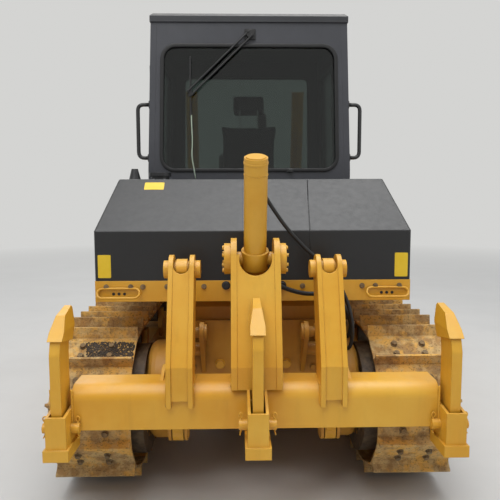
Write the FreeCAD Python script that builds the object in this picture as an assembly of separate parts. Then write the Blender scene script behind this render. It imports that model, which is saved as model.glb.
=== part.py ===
"""Crawler bulldozer with a three-shank ripper, modelled in millimetres.

+Y points to the blade, +X to the right and +Z up. The sizes are laid out from the sprocket axle
(y = 0) and from the floor (z = 0). Before it is written, every piece is moved by Y_SHIFT, so that
the origin is on the floor at the middle of the machine's length.
"""
import FreeCAD
import Part
import math
import os

V = FreeCAD.Vector
X_AXIS = V(1, 0, 0)
Y_AXIS = V(0, 1, 0)
Z_AXIS = V(0, 0, 1)

# Driving sizes: undercarriage
GAUGE = 1880.0              # middle of one track to middle of the other
SHOE_WIDTH = 460.0
LINK_PITCH = 203.2
LINK_COUNT = 37
SPROCKET_TEETH = 23         # two teeth to a link
IDLER_PIN_R = 350.0         # radius of the pin line round the idler
PIN_TO_RAIL = 48.0
PIN_TO_SHOE = 50.0
SHOE_THICK = 12.0
GROUSER_HEIGHT = 65.0
SPROCKET_RAISE = 25.0       # how far the sprocket stands clear of a flat track
IDLER_RAISE = 15.0
ROLLER_R = 90.0
ROLLER_COUNT = 6
ROLLER_FIRST_Y = 400.0
ROLLER_PITCH = 338.0
BEND_LEAD = 110.0           # flat run beyond the end rollers
ROLLER_AXLE = 12.0          # frame plate outside each roller
CARRIER_R = 85.0
CARRIER_YS = (760.0, 1640.0)
RAIL_INNER = 62.0           # from the track's middle to the rails' inner and outer faces
RAIL_OUTER = 105.0
SPROCKET_WIDTH = 76.0
IDLER_WIDTH = 112.0
RUN_GAP = 0.3               # clearance of pieces that seat or run on each other
PIN_GAP = 0.3              # radial clearance of a pin in its bore
FRAME_HALF_WIDTH = 125.0    # track frame
FINAL_DRIVE_R = 250.0
DRIVE_INNER_X = 513.0
DRIVE_OUTER_X = 652.0
DRIVE_RISE = 116.0          # upper round end of the drive case above the axle
HUB_GUARD_R = 340.0
DRIVE_NECK_R = 130.0
DRIVE_RIM = (
    # inward from the outer face, down from the rim
    (0.0, 50.0),
    (14.0, 22.0),
    (34.0, 6.0),
    (58.0, 0.0),
)

# Driving sizes: chassis, tank and cab
CASE_HALF_WIDTH = 400.0
CASE_REAR_Y = -60.0
CASE_FRONT_Y = 1100.0
CASE_BOTTOM_Z = 370.0
CASE_TOP_Z = 1180.0
RAIL_FRONT_Y = 3040.0
BELLY_Z = 430.0
EQUALIZER_Y = 2310.0
EQUALIZER_HALF = 70.0
EQUALIZER_DEPTH = 130.0
TANK_HALF_WIDTH = 938.0
TANK_TOP_HALF_WIDTH = 869.0
TANK_REAR_Y = -209.0
TANK_TOP_REAR_Y = 211.0
TANK_FRONT_Y = 700.0
TANK_BOTTOM_Z = 1307.0
TANK_SHOULDER_Z = 1602.0
TANK_TOP_Z = 1915.0
FILLER_X = -630.0
FILLER_Y = 450.0
BREATHER_X = -806.0
TANK_EDGE_R = 14.0
RING_X = 798.0
RING_LENGTH = 254.0
RING_HEIGHT = 66.0
RING_BAR = 14.0
RING_OUT = 30.0
SUPPORT_HEIGHT = 125.0
CAB_REAR_Y = 760.0
CAB_FRONT_Y = 2080.0
CAB_HALF_WIDTH = 760.0
CAB_TOP_HALF_WIDTH = 722.0
CAB_FLOOR_Z = 1200.0
CAB_KNEE_Z = 1995.0
CAB_EAVES_Z = 3070.0
ROOF_THICK = 65.0
WALL = 45.0
FLOOR_THICK = 40.0
GLASS = 8.0
DOOR_REAR_Y = 1180.0
DOOR_FRONT_Y = 1960.0
DOOR_BOTTOM_Z = 1330.0
DOOR_HEADER = 110.0         # wall left above the door
WINDOW_HEADER = 165.0       # wall left above the rear window
FENDER_Z = 1110.0
FENDER_OUTER_X = 1165.0
FENDER_SHEET = 20.0
STEP_WIDTH = 300.0
STEP_LENGTH = 280.0
STEP_DROP = 60.0
SEAT_Y = 1120.0             # rear edge of the squab
SEAT_HALF = 255.0
SEAT_LENGTH = 500.0
SEAT_BASE_HEIGHT = 360.0
SQUAB_THICK = 130.0
BACK_HEIGHT = 700.0
CONSOLE_X = 390.0
CONSOLE_HALF = 90.0
CONSOLE_HEIGHT = 560.0
DASH_HALF = 330.0
HOOD_HALF_WIDTH = 400.0
HOOD_EDGE_Z = 1640.0        # foot of the bent top sheet
HOOD_BEND = 60.0
HOOD_SHEET = 8.0
SIDE_DOOR_Z = 1180.0
LOUVRE = (220.0, 16.0)      # length and height of one slot
LOUVRE_PITCH = (280.0, 38.0)
ENGINE_HALF = 330.0
ENGINE_TOP_Z = 1480.0
HOOD_TOP_Z = 1830.0
GUARD_REAR_Y = 3060.0
GUARD_FRONT_Y = 3320.0
GUARD_HALF_WIDTH = 500.0
GUARD_BOTTOM_Z = 520.0
GUARD_TOP_Z = 1880.0
GUARD_RIM = 70.0            # frame left round the radiator
GUARD_DEPTH = 120.0
SLAT_PITCH = 50.0
FRAME_RAIL_X = 340.0
FRAME_RAIL_HALF = 40.0
FRAME_RAIL_Z = (470.0, 720.0)
EXHAUST_X = 170.0
EXHAUST_Y = 2480.0
LAMP_R = 70.0
LAMP_LENGTH = 90.0
TOW_BORE_R = 27.0

# Driving sizes: blade and its arms
BLADE_WIDTH = 3350.0
BLADE_HEIGHT = 1180.0
BLADE_FACE_R = 980.0
BLADE_SKIN = 16.0
EDGE_THICK = 28.0
EDGE_HEIGHT = 210.0
EDGE_CLEAR = 20.0           # parked with the edge just off the floor
EDGE_Y = 4180.0
TRUNNION_Y = 1050.0
TRUNNION_Z = 400.0
ARM_INNER_X = 1215.0
ARM_WIDTH = 125.0
ARM_DEPTH = 240.0
LIFT_X = 610.0
LIFT_PIVOT_Y = 3330.0
LIFT_PIVOT_Z = 1800.0
LIFT_EYE_Y = 3560.0
LIFT_EYE_Z = 560.0
LIFT_BARREL_R = 68.0
LIFT_ROD_R = 35.0
LIFT_TAIL = 1200.0          # barrel above its trunnion
LIFT_NOSE = 240.0           # barrel below its trunnion
LIFT_ROD_LENGTH = 1525.0
LIFT_EYE_R = 56.0
LIFT_PIN_R = 30.0
EYE_SIDE_GAP = 6.0          # from a rod's eye to its fork
FORK_PLATE = 26.0

# Driving sizes: ripper
LINK_TOP_Y = -500.0         # upper link's rear pin, at rest
LINK_TOP_Z = 1414.0
LINK_DY = 230.0             # rear pin to front pin, at rest
LINK_DZ = 405.0
LINK_SPACING = 589.0        # upper pins above lower pins
COLUMN_X = 393.0
COLUMN_HALF = 68.0
COLUMN_PLATE = 25.0
COLUMN_EAR_R = 78.0
COLUMN_STEP = 25.0          # columns stand proud of the beam's rear face
COLUMN_FOOT_Z = 735.0
SKIN_FOOT_RISE = 35.0       # a column's rear plate ends above its side plates
KNEE_Z = 945.0
CENTRE_COLUMN_HALF = 131.0
CENTRE_COLUMN_PLATE = 32.0
CENTRE_EAR_R = 112.0
CENTRE_FOOT_Z = 829.0
LOWER_X = 450.0             # lower arms
ARM_EYE_R = 64.0
ARM_HALF = 32.0
ARM_PLATE = 18.0
ARM_PIN_R = 38.0
LINK_EYE_R = 56.0
LINK_PIN_R = 32.0
LINK_SIDE_GAP = 6.0
BOSS_R = 48.0
BOSS_LENGTH = 30.0
BEAM_REAR_Y = -735.0
BEAM_FRONT_Y = -535.0
BEAM_BOTTOM_Z = 618.0
BEAM_TOP_Z = 845.0
BEAM_ROUND = 75.0
SHANK_X = 992.0
SHANK_THICK = 52.0
SHANK_DEPTH = 150.0
SHANK_PIN_R = 26.0
SHANK_PIN_HEIGHT = 130.0    # above the pocket's foot
POCKET_GAP = 10.0           # play between shank and pocket, each side
POCKET_PLATE = 15.0
POCKET_HEIGHT = 220.0
COLLAR_HEIGHT = 58.0
COLLAR_LIP = 12.0
SIDE_POCKET_REAR_Y = -846.0
SIDE_POCKET_Z = 508.0
CENTRE_POCKET_REAR_Y = -955.0
CENTRE_POCKET_Z = 560.0
RIPPER_TRUNNION_Y = -470.0
RIPPER_TRUNNION_Z = 1467.0
RIPPER_LEAN = 20.0          # of the cylinder, in degrees from upright
RIPPER_EYE_DISTANCE = 892.0
RIPPER_BARREL_R = 61.0
RIPPER_ROD_R = 34.0
RIPPER_TAIL = 568.0
RIPPER_NOSE = 200.0

# Worked-out places
SPROCKET_R = LINK_PITCH * SPROCKET_TEETH / (4 * math.pi)
GROUND_PIN_Z = PIN_TO_SHOE + SHOE_THICK + GROUSER_HEIGHT
SPROCKET_Z = GROUND_PIN_Z + SPROCKET_R + SPROCKET_RAISE
IDLER_Z = GROUND_PIN_Z + IDLER_PIN_R + IDLER_RAISE
ROLLER_Z = GROUND_PIN_Z + PIN_TO_RAIL + RUN_GAP + ROLLER_R
ROLLER_LAST_Y = ROLLER_FIRST_Y + ROLLER_PITCH * (ROLLER_COUNT - 1)
TRACK_X = GAUGE / 2
ROOF_TOP_Z = CAB_EAVES_Z + ROOF_THICK
DOOR_TOP_Z = CAB_EAVES_Z - DOOR_HEADER
ROLLER_HALF = FRAME_HALF_WIDTH - ROLLER_AXLE - RUN_GAP
COLUMN_REAR_Y = BEAM_REAR_Y - COLUMN_STEP
UPPER_PIN_Y = LINK_TOP_Y + LINK_DY
UPPER_PIN_Z = LINK_TOP_Z - LINK_DZ
LOWER_PIN_Z = UPPER_PIN_Z - LINK_SPACING
ARM_TOP_Z = LINK_TOP_Z - LINK_SPACING
RIPPER_EYE_Y = RIPPER_TRUNNION_Y + RIPPER_EYE_DISTANCE * math.sin(math.radians(RIPPER_LEAN))
RIPPER_EYE_Z = RIPPER_TRUNNION_Z - RIPPER_EYE_DISTANCE * math.cos(math.radians(RIPPER_LEAN))


def box(x0, x1, y0, y1, z0, z1):
    return Part.makeBox(x1 - x0, y1 - y0, z1 - z0, V(x0, y0, z0))


def rod(start, end, radius):
    """A round bar from one point to another."""
    along = end - start
    return Part.makeCylinder(radius, along.Length, start, along)


def bar_x(x0, x1, y, z, radius):
    return Part.makeCylinder(radius, x1 - x0, V(x0, y, z), X_AXIS)


def prism(points, along):
    """A straight-sided solid on a closed outline of points."""
    return Part.Face(Part.makePolygon(points + points[:1])).extrude(along)


def side_prism(outline, x0, x1):
    """An outline of (y, z) points, carried from x0 to x1."""
    return prism([V(x0, y, z) for y, z in outline], V(x1 - x0, 0, 0))


def front_prism(outline, y0, y1):
    """An outline of (x, z) points, carried from y0 to y1."""
    return prism([V(x, y0, z) for x, z in outline], V(0, y1 - y0, 0))


def fuse(first, *others):
    return first.fuse(list(others)).removeSplitter()


def mirrored(shape):
    """The same piece on the other side of the machine."""
    return shape.mirror(V(0, 0, 0), X_AXIS)


def pair(shape):
    """A right-hand piece and its left-hand copy, as two solids."""
    return Part.makeCompound([shape, mirrored(shape)])


def link_bar(start, end, eye_r, eye_half, bar_half, bar_depth):
    """A bar with a round eye at each end, in a plane square to x. Its middle is at the points' x."""
    along = end - start
    side = V(0, -along.z, along.y).normalize() * (bar_depth / 2)
    edge = V(bar_half, 0, 0)
    body = prism([start - side - edge, end - side - edge, end + side - edge, start + side - edge], edge * 2)
    eyes = [bar_x(p.x - eye_half, p.x + eye_half, p.y, p.z, eye_r) for p in (start, end)]
    return fuse(body, *eyes)


def tangent_point(point, other, centre, radius):
    """Where a line from a point touches a circle, on the side away from the other point."""
    dy, dz = point[0] - centre[0], point[1] - centre[1]
    spread = math.acos(radius / math.hypot(dy, dz))
    found = []
    for turn in (-spread, spread):
        angle = math.atan2(dz, dy) + turn
        found.append((centre[0] + radius * math.cos(angle), centre[1] + radius * math.sin(angle)))
    return max(found, key=lambda p: math.hypot(p[0] - other[0], p[1] - other[1]))


def eared_plate(chain, centre, radius, x0, x1):
    """Plate on a chain of (y, z) corners, drawn out to a round ear about a centre."""
    first, last = chain[0], chain[-1]
    start = tangent_point(last, first, centre, radius)
    end = tangent_point(first, last, centre, radius)
    middle = V(0, centre[0], centre[1])
    lean = [(V(0, *p) - middle).normalize() for p in (first, last)]
    crown = middle - (lean[0] + lean[1]).normalize() * radius
    path = [V(0, *p) for p in chain] + [V(0, *start)]
    edges = [Part.makeLine(a, b) for a, b in zip(path, path[1:])]
    edges.append(Part.Arc(V(0, *start), crown, V(0, *end)).toShape())
    edges.append(Part.makeLine(V(0, *end), V(0, *first)))
    plate = Part.Face(Part.Wire(edges)).extrude(V(x1 - x0, 0, 0))
    plate.translate(V(x0, 0, 0))
    return plate


def pin_bosses(x, half, y, z, radius, length):
    """Round bosses on the outer faces of a fork that is 2 half wide."""
    return [bar_x(*sorted((x + side * (half - 1), x + side * (half + length))), y, z, radius) for side in (-1, 1)]


# Track path: the pin line as straight runs and arcs round four wheels, in the order of travel
def belt_runs(wheels):
    """Runs of (start point, end point, wheel centre or None, radius) round wheels of (y, z, radius)."""
    tangents = []
    for index, (y0, z0, r0) in enumerate(wheels):
        y1, z1, r1 = wheels[(index + 1) % len(wheels)]
        dy, dz = y1 - y0, z1 - z0
        gap = math.hypot(dy, dz)
        turn = math.atan2(dz, dy) - math.acos((r0 - r1) / gap)
        ny, nz = math.cos(turn), math.sin(turn)
        tangents.append((y0 + r0 * ny, z0 + r0 * nz, y1 + r1 * ny, z1 + r1 * nz))
    runs = []
    for index, (y0, z0, y1, z1) in enumerate(tangents):
        runs.append(((y0, z0), (y1, z1), None, 0.0))
        cy, cz, radius = wheels[(index + 1) % len(wheels)]
        ny, nz = tangents[(index + 1) % len(wheels)][:2]
        runs.append(((y1, z1), (ny, nz), (cy, cz), radius))
    return runs


def run_length(run):
    (y0, z0), (y1, z1), centre, radius = run
    if centre is None:
        return math.hypot(y1 - y0, z1 - z0)
    start = math.atan2(z0 - centre[1], y0 - centre[0])
    end = math.atan2(z1 - centre[1], y1 - centre[0])
    return radius * ((end - start) % (2 * math.pi))


def point_on(runs, distance):
    """The point of the path at a distance from its start."""
    for run in runs:
        length = run_length(run)
        if distance <= length:
            (y0, z0), (y1, z1), centre, radius = run
            if centre is None:
                share = distance / length
                return y0 + (y1 - y0) * share, z0 + (z1 - z0) * share
            turn = math.atan2(z0 - centre[1], y0 - centre[0]) + distance / radius
            return centre[0] + radius * math.cos(turn), centre[1] + radius * math.sin(turn)
        distance -= length
    return runs[0][0]


def track_runs(idler_y):
    roller_pin_r = ROLLER_R + RUN_GAP + PIN_TO_RAIL
    return belt_runs([
        (0.0, SPROCKET_Z, SPROCKET_R),
        (ROLLER_FIRST_Y - BEND_LEAD, ROLLER_Z, roller_pin_r),
        (ROLLER_LAST_Y + BEND_LEAD, ROLLER_Z, roller_pin_r),
        (idler_y, IDLER_Z, IDLER_PIN_R),
    ])


def tensioned_idler_y():
    """The idler's place at which the path holds a whole number of links."""
    low, high = ROLLER_LAST_Y + 200.0, ROLLER_LAST_Y + 1400.0
    for _ in range(50):
        middle = (low + high) / 2
        if sum(run_length(r) for r in track_runs(middle)) < LINK_COUNT * LINK_PITCH:
            low = middle
        else:
            high = middle
    return low


IDLER_Y = tensioned_idler_y()
TRACK_RUNS = track_runs(IDLER_Y)
SPROCKET_START = run_length(TRACK_RUNS[0]) + sum(run_length(r) for r in TRACK_RUNS[1:7])
PINS = [point_on(TRACK_RUNS, k * LINK_PITCH) for k in range(LINK_COUNT)]

# Shoe outline on one link: share of the half pitch along the link, height above the shoe's outer face
SHOE_OUTLINE = (
    # along, height share of the grouser
    (-0.97, 0.0),
    (0.52, 0.0),
    (0.63, 0.30),
    (0.69, 1.0),
    (0.83, 1.0),
    (0.92, 0.0),
)


def link_points(offsets):
    """Points (y, z) along the track, offsets being (share of the half pitch, distance out from the pins)."""
    points = []
    for index, (y0, z0) in enumerate(PINS):
        y1, z1 = PINS[(index + 1) % len(PINS)]
        dy, dz = (y1 - y0) / LINK_PITCH, (z1 - z0) / LINK_PITCH
        my, mz = (y0 + y1) / 2, (z0 + z1) / 2
        for share, out in offsets:
            along = share * LINK_PITCH / 2
            points.append((my + dy * along + dz * out, mz + dz * along - dy * out))
    return points


def loop_of(outer, inner, x0, x1):
    return side_prism(outer, x0, x1).cut(side_prism(inner, x0 - 1, x1 + 1))


def track():
    face = PIN_TO_SHOE + SHOE_THICK
    shoes_outer = link_points([(s, face + h * GROUSER_HEIGHT) for s, h in SHOE_OUTLINE])
    shoes_inner = link_points([(-0.9, PIN_TO_SHOE), (0.9, PIN_TO_SHOE)])
    rails_outer = link_points([(-0.9, PIN_TO_SHOE + 2), (0.9, PIN_TO_SHOE + 2)])
    rails_inner = link_points([(-0.8, -PIN_TO_RAIL), (0.8, -PIN_TO_RAIL)])
    pieces = [loop_of(shoes_outer, shoes_inner, TRACK_X - SHOE_WIDTH / 2, TRACK_X + SHOE_WIDTH / 2)]
    for side in (-1, 1):
        x0, x1 = sorted((TRACK_X + side * RAIL_INNER, TRACK_X + side * RAIL_OUTER))
        pieces.append(loop_of(rails_outer, rails_inner, x0, x1))
    return fuse(*pieces)


# One tooth: share of the pitch angle round, height from the pin line
TOOTH_OUTLINE = (
    # share, height
    (-0.50, 10.0),
    (-0.36, 8.0),
    (-0.24, -18.0),
    (0.0, -30.0),
    (0.24, -18.0),
    (0.36, 8.0),
)


def sprocket():
    """Toothed rim with its seats on the pins, the hub and the guard ring towards the drive."""
    x0, x1 = TRACK_X - SPROCKET_WIDTH / 2, TRACK_X + SPROCKET_WIDTH / 2
    first = math.atan2(PINS_ON_SPROCKET[1] - SPROCKET_Z, PINS_ON_SPROCKET[0])
    pitch = 2 * math.pi / SPROCKET_TEETH
    outline = []
    for tooth in range(SPROCKET_TEETH):
        for share, height in TOOTH_OUTLINE:
            turn = first + pitch * (tooth + share)
            radius = SPROCKET_R + height
            outline.append((radius * math.cos(turn), SPROCKET_Z + radius * math.sin(turn)))
    hub = bar_x(DRIVE_OUTER_X + RUN_GAP, x1 + 60, 0, SPROCKET_Z, 190.0)
    guard = bar_x(DRIVE_OUTER_X + RUN_GAP, TRACK_X - FRAME_HALF_WIDTH - 6, 0, SPROCKET_Z, HUB_GUARD_R)
    cap = bar_x(x1 + 59, x1 + 100, 0, SPROCKET_Z, 120.0)
    return fuse(side_prism(outline, x0, x1), guard, hub, cap)


def pin_on_sprocket():
    """A pin that lies on the sprocket, away from the ends of its arc."""
    return min(PINS, key=lambda p: math.hypot(p[0] + SPROCKET_R, p[1] - SPROCKET_Z))


PINS_ON_SPROCKET = pin_on_sprocket()


def chord_radius(pin_radius):
    """Distance from a wheel's centre to the middle of a link that lies on it."""
    return pin_radius * math.cos(LINK_PITCH / (2 * pin_radius))


def idler():
    tread = chord_radius(IDLER_PIN_R) - PIN_TO_RAIL - RUN_GAP
    flange = tread + 26
    x = TRACK_X
    half = IDLER_WIDTH / 2
    wheel = bar_x(x - RAIL_OUTER, x + RAIL_OUTER, IDLER_Y, IDLER_Z, tread)
    middle = bar_x(x - half, x + half, IDLER_Y, IDLER_Z, flange)
    dish = bar_x(x + 60, x + RAIL_OUTER + 1, IDLER_Y, IDLER_Z, tread - 55)
    dish_in = bar_x(x - RAIL_OUTER - 1, x - 60, IDLER_Y, IDLER_Z, tread - 55)
    hub = bar_x(x - RAIL_OUTER - 12, x + RAIL_OUTER + 12, IDLER_Y, IDLER_Z, 80.0)
    return fuse(fuse(wheel, middle).cut([dish, dish_in]), hub)


def bottom_rollers():
    half = ROLLER_HALF
    ys = [ROLLER_FIRST_Y + k * ROLLER_PITCH for k in range(ROLLER_COUNT)]
    return [bar_x(TRACK_X - half, TRACK_X + half, y, ROLLER_Z, ROLLER_R) for y in ys]


def top_run_z(y, out):
    """Height of the upper run, out from the pin line, at a place along the machine."""
    for (y0, z0), (y1, z1), centre, _ in TRACK_RUNS:
        if centre is None and min(z0, z1) > IDLER_Z and min(y0, y1) <= y <= max(y0, y1):
            slope = (z1 - z0) / (y1 - y0)
            return z0 + (y - y0) * slope + out / math.cos(math.atan(slope))
    return IDLER_Z + IDLER_PIN_R + out


def carrier_rollers():
    half = ROLLER_HALF
    rollers = []
    for y in CARRIER_YS:
        z = top_run_z(y, -PIN_TO_RAIL - RUN_GAP) - CARRIER_R
        rollers.append(bar_x(TRACK_X - half, TRACK_X + half, y, z, CARRIER_R))
    return rollers


def track_frame():
    """Box member between the runs, with the roller guards, carrier posts and idler slides."""
    x0, x1 = TRACK_X - FRAME_HALF_WIDTH, TRACK_X + FRAME_HALF_WIDTH
    low = ROLLER_Z + ROLLER_R + 12
    high = low + 235
    rear = SPROCKET_R + 45
    beam = side_prism([
        (rear, low + 30), (rear + 60, low), (ROLLER_LAST_Y + 120, low), (IDLER_Y - 60, IDLER_Z - 55),
        (IDLER_Y + 130, IDLER_Z - 55), (IDLER_Y + 130, IDLER_Z + 55), (ROLLER_LAST_Y + 200, high),
        (rear + 60, high), (rear, high - 40)], x0, x1)
    idler_r = chord_radius(IDLER_PIN_R) - PIN_TO_RAIL + 40
    slot = box(TRACK_X - RAIL_OUTER - 14, TRACK_X + RAIL_OUTER + 14, IDLER_Y - idler_r, IDLER_Y + idler_r,
               IDLER_Z - 300, IDLER_Z + 300)
    frame = beam.cut(slot)
    guards = []
    for side in (-1, 1):
        g0, g1 = sorted((TRACK_X + side * FRAME_HALF_WIDTH, TRACK_X + side * (FRAME_HALF_WIDTH - ROLLER_AXLE)))
        guards.append(side_prism([
            (ROLLER_FIRST_Y - 70, low + 40), (ROLLER_FIRST_Y - 70, ROLLER_Z - 10),
            (ROLLER_FIRST_Y - 20, ROLLER_Z - 60), (ROLLER_LAST_Y + 20, ROLLER_Z - 60),
            (ROLLER_LAST_Y + 70, ROLLER_Z - 10), (ROLLER_LAST_Y + 70, low + 40)], g0, g1))
    posts = []
    for y in CARRIER_YS:
        z = top_run_z(y, -PIN_TO_RAIL - RUN_GAP) - CARRIER_R
        posts.append(side_prism([(y - 75, high - 5), (y + 75, high - 5), (y + 45, z + 40), (y - 45, z + 40)],
                                x0 - 28, TRACK_X - ROLLER_HALF - RUN_GAP))
        posts.append(box(x0 - 28, x0 + 5, y - 75, y + 75, high - 80, high))
    return fuse(frame, *guards, *posts)


def trunnion():
    """Ball stud on the outside of the track frame, which carries the push arm."""
    x0 = TRACK_X + FRAME_HALF_WIDTH - 2
    stem = bar_x(x0, ARM_INNER_X + ARM_WIDTH - 12, TRUNNION_Y, TRUNNION_Z, TRUNNION_R)
    plate = box(x0, x0 + 30, TRUNNION_Y - 150, TRUNNION_Y + 150, TRUNNION_Z - 40, TRUNNION_Z + 110)
    return fuse(stem, plate)


def final_drive():
    """Gear case between the rear case and the sprocket: two round ends joined by straight sides."""
    rim = [(DRIVE_OUTER_X - inward, FINAL_DRIVE_R - down) for inward, down in DRIVE_RIM]
    section = [(DRIVE_INNER_X, 0.0), (DRIVE_OUTER_X, 0.0)] + rim + [(DRIVE_INNER_X, FINAL_DRIVE_R)]
    solids = []
    for angle, z in ((180, SPROCKET_Z + DRIVE_RISE), (-180, SPROCKET_Z)):
        half = Part.Face(Part.makePolygon([V(x, out, z) for x, out in section + section[:1]]))
        solids.append(half.revolve(V(0, 0, z), X_AXIS, angle))
    across = [V(x, -out, SPROCKET_Z) for x, out in reversed(section[2:])] + [V(x, out, SPROCKET_Z) for x, out in section[2:]]
    neck = bar_x(CASE_HALF_WIDTH, DRIVE_INNER_X + 1, 0, SPROCKET_Z, DRIVE_NECK_R)
    return fuse(prism(across, V(0, 0, DRIVE_RISE)), *solids, neck)


# Chassis
CASE_CHAMFER = 60.0


def rear_case():
    """Transmission and steering case between the tracks."""
    body = box(-CASE_HALF_WIDTH, CASE_HALF_WIDTH, CASE_REAR_Y, CASE_FRONT_Y, CASE_BOTTOM_Z, CASE_TOP_Z)
    edges = [e for e in body.Edges if abs(e.tangentAt(e.FirstParameter).x) > 0.9]
    return body.makeChamfer(CASE_CHAMFER, edges)


def main_frame():
    """Two side rails, their cross members, the belly guard and the front tow clevis."""
    y0, y1, nose = CASE_FRONT_Y, RAIL_FRONT_Y, GUARD_FRONT_Y - 20
    low, high = FRAME_RAIL_Z
    w = FRAME_RAIL_X + FRAME_RAIL_HALF
    rails = [box(w * s - FRAME_RAIL_HALF * (s + 1), w * s - FRAME_RAIL_HALF * (s - 1), y0, nose, low, high) for s in (-1, 1)]
    belly = box(-w, w, y0, y1 - 60, BELLY_Z, low + 1)
    front = box(-w, w, GUARD_REAR_Y + 100, nose, BELLY_Z + 10, high - 1)
    cross = box(-w, w, y0, y0 + 200, low, high)
    lugs = [box(-70, 70, nose - 1, nose + 150, z, z + 35) for z in (low + 10, low + 115)]
    bore = Part.makeCylinder(TOW_BORE_R, 400, V(0, GUARD_FRONT_Y + 75, BELLY_Z + 10), Z_AXIS)
    return fuse(fuse(belly, *rails, front, cross), *lugs).cut(bore)


def equalizer_bar():
    """Cross bar that carries the front of the chassis on both track frames."""
    half = TRACK_X - FRAME_HALF_WIDTH
    top = BELLY_Z - RUN_GAP
    return box(-half, half, EQUALIZER_Y - EQUALIZER_HALF, EQUALIZER_Y + EQUALIZER_HALF, top - EQUALIZER_DEPTH, top)


def engine_block():
    """Plain block for the engine, seated on the frame's rails."""
    z = FRAME_RAIL_Z[1] + RUN_GAP
    return box(-ENGINE_HALF, ENGINE_HALF, CAB_FRONT_Y + 60, GUARD_REAR_Y - 100, z, ENGINE_TOP_Z)


def hood():
    """Bent top sheet of the engine bay."""
    section = []
    for t in (0.0, HOOD_SHEET):
        w, top, bend = HOOD_HALF_WIDTH - t, HOOD_TOP_Z - t, HOOD_BEND - t / 2
        half = [(w, HOOD_EDGE_Z), (w, top - bend), (w - bend, top)]
        line = [(-x, z) for x, z in half] + half[::-1]
        section += line if t == 0 else line[::-1]
    return front_prism(section, CAB_FRONT_Y + RUN_GAP, GUARD_REAR_Y)


def hood_sides():
    """Louvred engine doors, one each side."""
    w = HOOD_HALF_WIDTH
    panel = box(w - 12, w, CAB_FRONT_Y + 30, GUARD_REAR_Y - 10, SIDE_DOOR_Z, HOOD_EDGE_Z - RUN_GAP)
    slots = []
    for column in range(3):
        for row in range(9):
            y = CAB_FRONT_Y + 110 + column * LOUVRE_PITCH[0]
            z = SIDE_DOOR_Z + 70 + row * LOUVRE_PITCH[1]
            slots.append(box(w - 20, w + 5, y, y + LOUVRE[0], z, z + LOUVRE[1]))
    return pair(panel.cut(slots))


def radiator_guard():
    """Frame round the radiator, with the yokes of the lift cylinders."""
    w, rim = GUARD_HALF_WIDTH, GUARD_RIM
    shell = box(-w, w, GUARD_REAR_Y, GUARD_FRONT_Y, GUARD_BOTTOM_Z + 200, GUARD_TOP_Z)
    shell = shell.makeChamfer(50.0, [e for e in shell.Edges if abs(e.tangentAt(e.FirstParameter).y) > 0.9
                                     and e.BoundBox.ZMin > GUARD_TOP_Z - 1])
    window = box(-w + rim, w - rim, GUARD_FRONT_Y - GUARD_DEPTH, GUARD_FRONT_Y + 1, GUARD_BOTTOM_Z + 300, GUARD_TOP_Z - 110)
    yokes = []
    for side in (-1, 1):
        x0, x1 = sorted((side * (w - rim), side * (LIFT_X - LIFT_BARREL_R - 34)))
        yokes.append(box(x0, x1, LIFT_PIVOT_Y - 90, LIFT_PIVOT_Y + 60, LIFT_PIVOT_Z - 100, LIFT_PIVOT_Z + 60))
    hole = bar_x(-LIFT_X, LIFT_X, LIFT_PIVOT_Y, LIFT_PIVOT_Z, LIFT_PIN_R + PIN_GAP)
    return fuse(shell, *yokes).cut([window, hole])


def grille():
    """Vertical slats in front of the radiator, between three cross rims."""
    w = GUARD_HALF_WIDTH - GUARD_RIM
    y = GUARD_FRONT_Y - GUARD_DEPTH + RUN_GAP
    z0, z1 = GUARD_BOTTOM_Z + 300, GUARD_TOP_Z - 110
    count = int((w - 30) // SLAT_PITCH)
    slats = [box(k * SLAT_PITCH - 8, k * SLAT_PITCH + 8, y, y + 60, z0 + 9, z1 - 9) for k in range(-count, count + 1)]
    rims = [box(-w, w, y, y + 40, z, z + 20) for z in (z0, (z0 + z1) / 2, z1 - 20)]
    return fuse(*rims, *slats)


def exhaust():
    """Silencer with its tail pipe cut off at a slant."""
    foot = V(EXHAUST_X, EXHAUST_Y, HOOD_TOP_Z)
    silencer = Part.makeCylinder(84.0, 430, foot + V(0, 0, 90), Z_AXIS)
    pipe = Part.makeCylinder(48.0, 820, foot, Z_AXIS)
    bore = Part.makeCylinder(42.0, 300, foot + V(0, 0, 560), Z_AXIS)
    slant = side_prism([(EXHAUST_Y - 60, HOOD_TOP_Z + 830), (EXHAUST_Y + 60, HOOD_TOP_Z + 830),
                        (EXHAUST_Y + 60, HOOD_TOP_Z + 740)], EXHAUST_X - 60, EXHAUST_X + 60)
    return fuse(silencer, pipe).cut([bore, slant])


def lamps():
    """Two work lamps on short stems on the radiator guard."""
    solids = []
    for side in (-1, 1):
        x, y, z = side * (GUARD_HALF_WIDTH - 110), GUARD_FRONT_Y - 110, GUARD_TOP_Z + 95
        stem = Part.makeCylinder(14.0, 40, V(x, y, GUARD_TOP_Z), Z_AXIS)
        shell = Part.makeCone(LAMP_R - 22, LAMP_R, LAMP_LENGTH, V(x, y - LAMP_LENGTH / 2, z), Y_AXIS)
        front = Part.makeCylinder(LAMP_R - 10, 12, V(x, y + LAMP_LENGTH / 2 - 12, z), Y_AXIS)
        solids.append(fuse(stem, shell.cut(front)))
    return Part.makeCompound(solids)


def precleaner():
    """Air intake stem with its bowl and domed lid."""
    at = V(-EXHAUST_X, EXHAUST_Y + 160, HOOD_TOP_Z)
    stem = Part.makeCylinder(55.0, 260, at, Z_AXIS)
    bowl = Part.makeCylinder(120.0, 150, at + V(0, 0, 240), Z_AXIS)
    lid = Part.makeCone(128.0, 70.0, 45, at + V(0, 0, 390), Z_AXIS)
    return fuse(stem, bowl, lid)


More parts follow.
